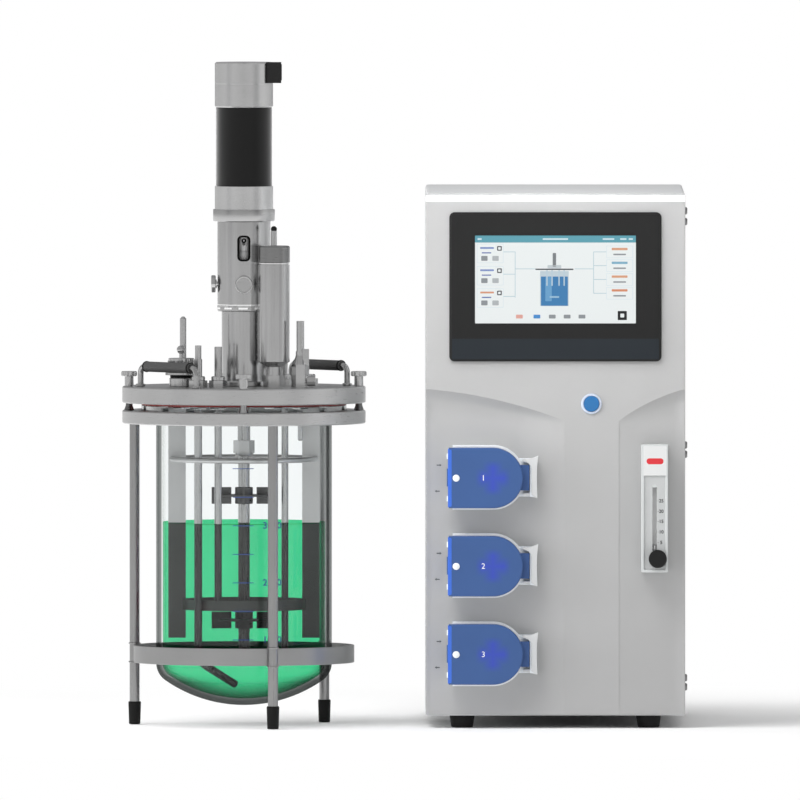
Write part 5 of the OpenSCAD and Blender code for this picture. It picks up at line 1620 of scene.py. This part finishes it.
@dataclass
class Screen:
    """Touch screen in its charcoal bezel, showing a plain process picture, and the power button.

    Args:
        middle: Height of the picture's middle.
        size: Width and height of the picture.
        face: How far the picture stands ahead of the panel's front plane.
        pane: Roughness of the glossy pane.
        band: Size of the bezel's lower band, and the height of its middle.
        rows: Heights of the tiles on the left, from the picture's middle, with their headings.
        values: Heights of the tiles on the right, with their headings.
        keys: Places of the keys along the bottom, with their colours.
    """

    middle: float = 423.2
    size: Point = (152.0, 83.2)
    face: float = 4.8
    pane: float = 0.25
    band: Vec3 = (195.2, 19.4, 357.6)
    rows: Sequence[tuple[float, Lit]] = ((24.5, Lit.VIOLET), (3.5, Lit.VIOLET), (-17.5, Lit.COPPER))
    values: Sequence[tuple[float, Lit]] = (
        (26.0, Lit.AMBER),
        (13.0, Lit.SKY),
        (0.0, Lit.AMBER),
        (-13.0, Lit.CORAL),
    )
    keys: Sequence[tuple[float, Lit]] = (
        (-34.0, Lit.PINK),
        (-17.5, Lit.BLUE),
        (-3.0, Lit.GREY),
        (11.0, Lit.GREY),
        (25.0, Lit.GREY),
    )

    def header(self) -> list[Patch]:
        """The page and its header with five captions.

        Returns:
            The fields.
        """
        wide, high = self.size[0] - 0.4, self.size[1] - 0.4
        captions = ((-71.5, 4.0), (0.0, 24.0), (50.0, 11.0), (64.0, 6.0), (71.0, 4.0))
        page = [(Lit.PAPER, (0, 0), (wide, high), 0), (Lit.HEADER, (0, 38.1), (wide, 6.6), 1)]
        return page + [(Lit.CAPTION, (x, 38.1), (width, 1.6), 2) for x, width in captions]

    def row(self, z: float, heading: Lit) -> list[Patch]:
        """One tile on the left, with its heading, switch, two buttons and link.

        Args:
            z: Height of its middle.
            heading: Its heading's colour.

        Returns:
            The fields.
        """
        return [
            (Lit.TILE, (-61.5, z), (25.0, 18.0), 1),
            (Lit.PAPER, (-61.5, z), (24.2, 17.2), 2),
            (heading, (-64.5, z + 5.2), (13.0, 1.7), 3),
            (Lit.CHARCOAL, (-52.8, z + 4.8), (4.4, 4.4), 3),
            (Lit.PAPER, (-52.8, z + 4.8), (2.4, 2.4), 4),
            (Lit.GREY, (-67.0, z - 4.6), (6.0, 4.6), 3),
            (Lit.PALE_GREY, (-56.5, z - 4.6), (6.0, 4.6), 3),
            (Lit.INDIGO, (-65.0, z + 0.6), (9.0, 1.1), 3),
            (Lit.LINK, (-43.5, z + 1.5), (11.0, 0.5), 1),
            (Lit.LINK, (-38.0, (z + 10.0) / 2 + 1.0), (0.5, abs(z - 10.0) + 1.4), 1),
        ]

    def value(self, z: float, heading: Lit) -> list[Patch]:
        """One tile on the right, with its heading, line and link.

        Args:
            z: Height of its middle.
            heading: Its heading's colour.

        Returns:
            The fields.
        """
        return [
            (Lit.TILE, (60.5, z), (25.0, 11.6), 1),
            (Lit.PAPER, (60.5, z), (24.2, 10.8), 2),
            (heading, (60.5, z + 2.7), (15.0, 2.2), 3),
            (Lit.GREY, (60.5, z - 2.4), (12.0, 1.4), 3),
            (Lit.LINK, (42.0, z), (12.0, 0.5), 1),
        ]

    def links(self) -> list[Patch]:
        """The lines from the tiles to the tank.

        Returns:
            The fields.
        """
        return [
            (Lit.LINK, (36.0, 6.5), (0.5, 39.5), 1),
            (Lit.LINK, (27.0, 10.0), (18.0, 0.5), 1),
            (Lit.LINK, (-27.0, 10.0), (22.0, 0.5), 1),
        ]

    def tank(self) -> list[Patch]:
        """The tank in the middle, with its lid, motor, neck, wall, liquid and four probes.

        Returns:
            The fields.
        """
        vessel = [
            (Lit.LID, (-1.0, 9.6), (36.0, 1.3), 2),
            (Lit.MOTOR, (-1.0, 18.5), (3.2, 13.0), 2),
            (Lit.NECK, (-1.0, 12.0), (13.0, 3.2), 2),
            (Lit.WALL, (-1.0, -8.6), (27.0, 33.0), 2),
            (Lit.LIQUID, (-1.0, -11.0), (25.4, 27.6), 3),
            (Lit.GLARE, (-6.5, -9.0), (6.0, 23.0), 4),
        ]
        probes = [(Lit.PROBE, (x, 1.5), (1.2, 15.0), 5) for x in (-8.0, -3.2, 3.4, 8.2)]
        return vessel + probes + [(Lit.FIGURE, (-1.0, -16.5), (9.0, 1.6), 5)]

    def footer(self) -> list[Patch]:
        """The keys along the bottom and the square one in the corner.

        Returns:
            The fields.
        """
        keys = [(colour, (x, -35.0), (6.4, 3.6), 1) for x, colour in self.keys]
        corner = (63.0, -34.0)
        return keys + [(Lit.BLACK, corner, (8.6, 8.6), 1), (Lit.PAPER, corner, (3.6, 3.6), 2)]

    def build_picture(self) -> None:
        """Draws header, tiles, the links between them, the tank and the keys as plain fields."""
        patches = self.header()
        for z, heading in self.rows:
            patches += self.row(z, heading)
        for z, heading in self.values:
            patches += self.value(z, heading)
        patches += self.links() + self.tank() + self.footer()
        shown = Shape("screen_picture", (CABINET_X, CABINET_Y - self.face, self.middle))
        shown.at(0.0, 0.0, 0.0, FRONT)
        for colour, place, size, layer in patches:
            shown.wear(Glow(f"lit_field_{colour.value[1:]}", colour.value, self.pane))
            corner, top = min(0.6, 0.45 * min(size)), 0.045 * layer
            shown.plate(rounded(*size, corner, *place), top - 0.04, top)
        shown.make(slot="screen_face", instead_of=("screen_glass",))

    def build(self) -> None:
        """Dresses the bezel and the button and draws the picture."""
        dress(BEZEL, "screen_bezel")
        dress(RING, "button_bezel")
        dress(LENS, "power_button")
        self.build_picture()
        wide, high, middle_z = self.band
        band = Shape("bezel_lower_band", (CABINET_X, CABINET_Y - 5.0, middle_z)).wear(BEZEL_BAND)
        band.at(0, 0, 0, FRONT).plate(rounded(wide, high, 1.2), -0.2, 0.05)
        band.make(slot="bezel_black")


@dataclass
class Pumps:
    """Three peristaltic pumps: white bases, hinged blue covers with plain numbers, and latches.

    Args:
        x: Their axis from the cabinet's middle.
        levels: Heights of their axes, from the top.
        cover_high: Height of a cover's top above its seat.
        cover: Radius of a cover's round side, and how far its straight side lies to the left.
        rim: The same of a base's bead, outside and inside.
        top_edge: Width, length, corner and place of the painted highlight along the left edge of a
            cover's top.
        side_edge: The same of the one down its side.
        number: How far a cover's number lies to the left, and its size.
        rivet: How far a cover's rivet lies to the left, and its profile.
        clip: Outline of the curved clip that holds a cover shut.
        tongue: Outline of the tongue under the clip.
        marks: Place of the two tubes' marks from the pump's axis, upper one first.
    """

    x: float = -59.0
    levels: Sequence[float] = (236.4, 153.2, 70.0)
    cover_high: float = 30.0
    cover: Point = (28.3, 41.5)
    rim: tuple[Point, Point] = ((30.35, 37.9), (27.6, 34.0))
    top_edge: Vec4 = (2.6, 54.0, 1.2, -40.2)
    side_edge: Vec4 = (1.2, 55.0, 0.5, -41.8)
    number: Point = (-9.0, 7.5)
    rivet: tuple[float, Sequence[Point]] = (-34.6, ((3.3, 0.3), (3.3, 0.9), (2.7, 1.3), (0.0, 1.45)))
    clip: Sequence[Point] = (
        *((36.2, -16.0), (42.0, -19.4), (41.6, -8.0), (41.5, 0.0), (41.7, 10.0), (42.8, 20.6)),
        *((38.6, 18.9), (34.2, 17.6), (29.5, 17.9), (27.4, 16.1), (33.6, 13.4), (36.0, 10.0)),
        (36.2, 0.0),
    )
    tongue: Sequence[Point] = (
        *((28.6, -14.6), (36.4, -14.2), (42.0, -17.6), (42.0, -19.5), (33.0, -17.4)),
        (28.4, -16.6),
    )
    marks: Sequence[Point] = ((-50.7, 11.4), (-50.7, -13.2))

    def build(self) -> None:
        """Dresses the pumps and adds numbers, rivets, latch clips and port marks."""
        dress(WHITE, "pump_housings")
        dress(ZINC, "pump_motors")
        for index, level in enumerate(self.levels, 1):
            dress(WHITE, f"pump_rotor_{index}")
            self.build_cover(index, level)
            self.build_bead(index, level)
            self.build_latch(index, level)

    def seat(self, level: float, ahead: float = 0.0) -> Vec3:
        """The place of a pump's axis on its seat, or some way ahead of it."""
        return (CABINET_X + self.x, CABINET_Y + RELIEF - ahead, level)

    def build_cover(self, index: int, level: float) -> None:
        """Makes one cover's polished top with the painted highlight along its edge, its rivet and its
        number.

        Args:
            index: The pump's number, from 1 at the top.
            level: Height of its axis.
        """
        dress(COVER, f"pump_cover_{index}")
        top = Shape(f"pump_cover_{index}_top", self.seat(level, self.cover_high))
        top.wear(COVER).at(0, 0, 0, FRONT).plate(self.d_outline(*self.cover), -1.6, 0.6, 0.9)
        # The bright strips along the left edge, on the top and down the side, are painted highlight
        top.wear(COVER_EDGE_HIGHLIGHT).plate(rounded(*self.top_edge), 0.2, 0.68, 0.05)
        top.plate(rounded(*self.side_edge), -14.0, 0.4, 0.3)
        left, profile = self.rivet
        top.wear(WHITE).at(left, 0.0, 0.0, FRONT).lathe(profile, 36)
        left, size = self.number
        top.wear(PRINT_WHITE).at(left, -0.62, 0.0, FRONT).words(str(index), size, 0.05)
        top.make(f"cover_{index}", "cover_blue")

    def d_outline(self, radius: float, left: float) -> list[Point]:
        """The outline of bases and covers: straight on the left and round on the right.

        Args:
            radius: Radius of the round side.
            left: How far the straight side lies to the left.

        Returns:
            The outline.
        """
        turns = [math.pi * (i / 32 - 0.5) for i in range(33)]
        arc = [(radius * math.cos(t), radius * math.sin(t)) for t in turns]
        low = [(-left, -radius + 1.2), (-left + 1.2, -radius)]
        return low + arc + [(x, -y) for x, y in reversed(low)]

    def build_bead(self, index: int, level: float) -> None:
        """Adds the bright rounded bead along one base's rim.

        Args:
            index: The pump's number.
            level: Height of its axis.
        """
        bead = Shape(f"pump_{index}_base_bead", self.seat(level))
        bead.wear(WHITE_TRIM_AND_HIGHLIGHT).at(0, 0, 0, FRONT)
        outer, inner = (self.d_outline(*line) for line in self.rim)
        bead.plate(outer, 9.6, 12.35, 0.7, [inner])
        bead.make(slot="plastic_white")

    def build_latch(self, index: int, level: float) -> None:
        """Adds the curved clip that holds one cover shut and the marks of its two tubes.

        Args:
            index: The pump's number.
            level: Height of its axis.
        """
        clip = Shape(f"pump_{index}_latch_clip", self.seat(level)).wear(PALE).at(0, 0, 0, FRONT)
        clip.plate(self.clip, 10.0, 16.8, 0.5).plate(self.tongue, 8.5, 15.2, 0.4)
        clip.make(slot="plastic_white")
        marks = Shape(f"pump_{index}_tube_marks", self.seat(level)).wear(PRINT_GREY)
        shaft = [(-2.3, -0.5), (0.6, -0.5), (0.6, 0.5), (-2.3, 0.5)]
        inwards = [(0.6, -1.3), (2.4, 0.0), (0.6, 1.3)]
        outwards = [(-2.3, 1.3), (-4.1, 0.0), (-2.3, -1.3)]
        for (x, up), tip in zip(self.marks, (inwards, outwards)):
            marks.at(x, -0.05, up, FRONT).plate(shaft, 0.0, 0.06).plate(tip, 0.0, 0.06)
        marks.make(slot="cabinet_paint")


@dataclass
class Flowmeter:
    """Gas flowmeter: an acrylic block with a recessed scale, a float in a slot and a needle valve.

    Args:
        x: Its middle from the cabinet's middle.
        middle: Height of its middle.
        width: Its width.
        height: Its height.
        face: How far its front stands ahead of the panel's front plane.
        window: Width and height of the opening in its frame, and its place from the middle.
        label: Width, height and upward shift of the pale label, and those of the red bar on it.
        label_x: How far label and bar lie to the right.
        slot: Half-width of the float's slot, and its upper and lower end from the middle.
        backing: Width, height, corner and upward shift of the white backing behind the slot.
        figures: Place, size and swell of the scale's figures.
        tick: Place, width and height of the line beside a figure.
        scale: Heights of the scale's numbers, with the numbers in litres a minute.
    """

    x: float = 93.4
    middle: float = 207.55
    width: float = 25.2
    height: float = 120.7
    face: float = 18.0
    window: tuple[Point, Point] = ((20.0, 88.6), (0.2, -13.4))
    label: tuple[Vec3, Vec3] = ((21.6, 27.6, 45.0), (16.0, 5.6, 44.6))
    label_x: float = 0.4
    slot: Vec3 = (2.3, 20.5, -42.0)
    backing: Vec4 = (3.9, 61.0, 1.9, -10.4)
    figures: Vec3 = (6.3, 4.4, 0.12)
    tick: Vec3 = (3.4, 1.2, 0.35)
    scale: Sequence[tuple[float, str]] = (
        (214.7, "25"),
        (204.8, "20"),
        (195.3, "15"),
        (185.4, "10"),
        (175.4, "5"),
    )

    def build(self) -> None:
        """Dresses the flowmeter and adds its frame, scale and label."""
        dress(ACRYLIC, "flowmeter_body")
        dress(NYLON, "flowmeter_knob")
        dress(TURNED, "flowmeter_float")
        spot = (CABINET_X + self.x, CABINET_Y - self.face, self.middle)
        (wide, high), middle_at = self.window
        rim = Shape("flowmeter_frame", spot).wear(ACRYLIC).at(0, 0, 0, FRONT)
        hole = rounded(wide, high, 0.8, *middle_at)
        rim.plate(rounded(self.width, self.height, 1.4), -0.4, 1.5, 0.5, [hole])
        (field_w, field_h, field_z), (bar_w, bar_h, bar_z) = self.label
        rim.wear(PALE).plate(rounded(field_w, field_h, 0.8, self.label_x, field_z), 1.3, 1.6, 0.1)
        rim.wear(RED).plate(rounded(bar_w, bar_h, 2.7, self.label_x, bar_z), 1.5, 1.72, 0.05)
        rim.make(slot="flowmeter_plastic")
        strip = Shape("flowmeter_scale", spot).wear(SCALE).at(0, 0, 0, FRONT)
        half, upper, lower = self.slot
        turns = [math.pi * i / 12 for i in range(13)]
        slot = [(half * math.cos(t), upper + half * math.sin(t)) for t in turns]
        slot += [(-half, lower), (half, lower)]
        strip.plate(rounded(wide + 0.4, high + 0.4, 0.6, *middle_at), 0.0, 0.12, 0.0, [slot])
        wide, high, corner, shift = self.backing
        strip.wear(SLOT).plate(rounded(wide, high, corner, 0.0, shift), -7.6, -7.2)
        strip.wear(PRINT_BLACK)
        figures_x, size, swell = self.figures
        tick_x, wide, high = self.tick
        for height, figure in self.scale:
            up = height - self.middle
            strip.at(figures_x, -0.14, up, FRONT).words(figure, size, 0.04, swell)
            strip.at(tick_x, -0.14, up, FRONT).plate(rounded(wide, high, 0.1), 0.0, 0.04)
        strip.make(slot="flowmeter_plastic")


# ---------------------------------------------------------------- studio


@dataclass(frozen=True)
class Lamp:
    """One square soft lamp.

    Args:
        name: The lamp's name.
        place: Where it stands, in metres.
        size: Its side, in metres.
        watts: Its power.
        aim: What it points at, in metres.
        spread: How wide its light opens, in degrees.
    """

    name: str
    place: Vec3
    size: float
    watts: float
    aim: Vec3 = (0.0, 0.0, 0.25)
    spread: float = 180.0

    def build(self) -> None:
        """Sets up the lamp, which mirrors don't show."""
        data = bpy.data.lights.new(self.name, "AREA")
        data.size = self.size
        data.energy = self.watts
        data.spread = math.radians(self.spread)
        lamp = bpy.data.objects.new(self.name, data)
        lamp.location = self.place
        way = Vector(self.aim) - Vector(self.place)
        lamp.rotation_euler = way.to_track_quat("-Z", "Y").to_euler()
        lamp.visible_glossy = False
        bpy.context.scene.collection.objects.link(lamp)


@dataclass
class Studio:
    """Camera, lamps, pale surroundings and floor.

    Args:
        target: What the camera looks at, in millimetres.
        elevation: How far it looks down, in degrees.
        distance: How far away it stands, in metres.
        lens: Its focal length.
        ambient: Strength of the light from all round.
        lamps: The lamps: two that light all of it, and a faint one for the cabinet's brow.
        floor: Left, right, near and far edge of the floor, in metres.
        floor_z: Its height in metres, just below the feet.
        fade: How far from the middle its shading starts to give way to white, and where it has.
        walls: What metal mirrors, by the direction round the apparatus: 0 is in front, 90 to the right.
    """

    target: Vec3 = (-3.8, -110.0, 307.3)
    elevation: float = 1.6
    distance: float = 34.65
    lens: float = 1650.0
    ambient: float = 0.6
    lamps: Sequence[Lamp] = (
        Lamp("key", (-1.0, -1.3, 2.5), 1.5, 42.0),
        Lamp("side", (-2.0, -0.7, 0.6), 1.0, 22.0),
        Lamp("brow", (0.14, -1.0, 1.1), 0.3, 0.3, (0.14, -0.18, 0.56), 30.0),
    )
    floor: Vec4 = (-9, 9, -7, 16)
    floor_z: float = -0.0004
    fade: Point = (0.3, 1.0)
    walls: Sequence[tuple[float, str]] = (
        (-180, "#949496"),
        (-140, "#b6b6b6"),
        (-78, "#bfbfbf"),
        (-60, "#919193"),
        (-44, "#b9b9b9"),
        (0, "#aeaeae"),
        (34, "#b6b6b6"),
        (46, "#7c7c7e"),
        (56, "#767678"),
        (66, "#c2c2c2"),
        (85, "#d3d3d3"),
        (120, "#bebebe"),
        (150, "#8d8d8f"),
        (180, "#949496"),
    )

    def build_camera(self) -> None:
        """Sets a long lens far off, level with the middle of the apparatus."""
        data = bpy.data.cameras.new("camera")
        data.lens = self.lens
        data.sensor_width = 36.0
        data.clip_start = 1.0
        data.clip_end = 100.0
        camera = bpy.data.objects.new("camera", data)
        bpy.context.scene.collection.objects.link(camera)
        tilt = math.radians(self.elevation)
        away = Vector((0.0, -math.cos(tilt), math.sin(tilt))) * self.distance
        camera.location = Vector(self.target) * MM + away
        camera.rotation_euler = (math.radians(90) - tilt, 0.0, 0.0)
        bpy.context.scene.camera = camera

    def build_world(self) -> None:
        """Surroundings that are white to the eye and softly banded in a mirror."""
        world = bpy.data.worlds.new("studio")
        world.use_nodes = True
        tree = world.node_tree
        tree.nodes.clear()
        way = add(tree, "SeparateXYZ", Vector=add(tree, "TexCoord").outputs["Generated"])
        before = add(tree, "Math", TIMES, i0=way.outputs["Y"], i1=-1.0)
        turn = add(tree, "Math", {"operation": "ARCTAN2"}, i0=way.outputs["X"], i1=before.outputs[0])
        round_it = add(tree, "MapRange", i0=turn.outputs[0], i1=-math.pi, i2=math.pi)
        stops = [(0.5 + degrees / 360, linear(code)) for degrees, code in self.walls]
        mirrored = add(tree, "ValToRGB", {"stops": stops}, Fac=round_it.outputs[0])
        path = add(tree, "LightPath")
        soft = add(tree, "Background", Color=CLEAR, Strength=self.ambient)
        seen = add(tree, "Background", Color=CLEAR, Strength=1.0)
        gloss = add(tree, "Background", Color=mirrored.outputs[0], Strength=1.0)
        both = soft
        for kind, light in (("Glossy", gloss), ("Transmission", seen), ("Camera", seen)):
            share = path.outputs[f"Is {kind} Ray"]
            both = add(tree, "MixShader", i0=share, i1=both.outputs[0], i2=light.outputs[0])
        add(tree, "OutputWorld", Surface=both.outputs[0])
        bpy.context.scene.world = world

    def build_floor(self) -> None:
        """Lays a pale floor that keeps the soft shadows."""
        left, right, near, far = self.floor
        mesh = bpy.data.meshes.new("floor")
        corners = [(left, near, 0), (right, near, 0), (right, far, 0), (left, far, 0)]
        mesh.from_pydata(corners, [], [(0, 1, 2, 3)])
        made = bpy.data.materials.new("white_studio_floor")
        made.use_nodes = True
        tree = made.node_tree
        tree.nodes.clear()
        lit = add(tree, "BsdfDiffuse", Color=linear("#fdfdfd"))
        bright = add(tree, "Emission", Color=CLEAR, Strength=1.0)
        path = add(tree, "LightPath")
        seen = path.outputs["Is Camera Ray"]
        for kind in ("Glossy", "Transmission"):
            seen = add(tree, "Math", LARGER, i0=seen, i1=path.outputs[f"Is {kind} Ray"]).outputs[0]
        place = add(tree, "TexCoord").outputs["Object"]
        reach = add(tree, "VectorMath", {"operation": "LENGTH"}, i0=place).outputs["Value"]
        away = add(tree, "MapRange", SMOOTH, i0=reach, i1=self.fade[0], i2=self.fade[1])
        share = add(tree, "Math", TIMES, i0=seen, i1=away.outputs[0])
        both = add(tree, "MixShader", i0=share.outputs[0], i1=lit.outputs[0], i2=bright.outputs[0])
        add(tree, "OutputMaterial", Surface=both.outputs[0])
        mesh.materials.append(made)
        floor = bpy.data.objects.new("floor", mesh)
        floor.location.z = self.floor_z
        bpy.context.scene.collection.objects.link(floor)

    def build(self) -> None:
        """Sets up camera, surroundings, floor and lamps."""
        self.build_camera()
        self.build_world()
        self.build_floor()
        for lamp in self.lamps:
            lamp.build()
        bpy.context.scene.view_settings.view_transform = "Standard"


def main() -> None:
    """Builds the studio and every sub-assembly in order."""
    logging.basicConfig(level=logging.INFO, format="%(name)s: %(message)s")
    Studio().build()
    vessel_unit = (Vessel(), Stand(), Head(), Drive(), Internals())
    cabinet = (CabinetBody(), Screen(), Pumps(), Flowmeter())
    for part in vessel_unit + cabinet:
        part.build()


if __name__ == "__main__":
    main()
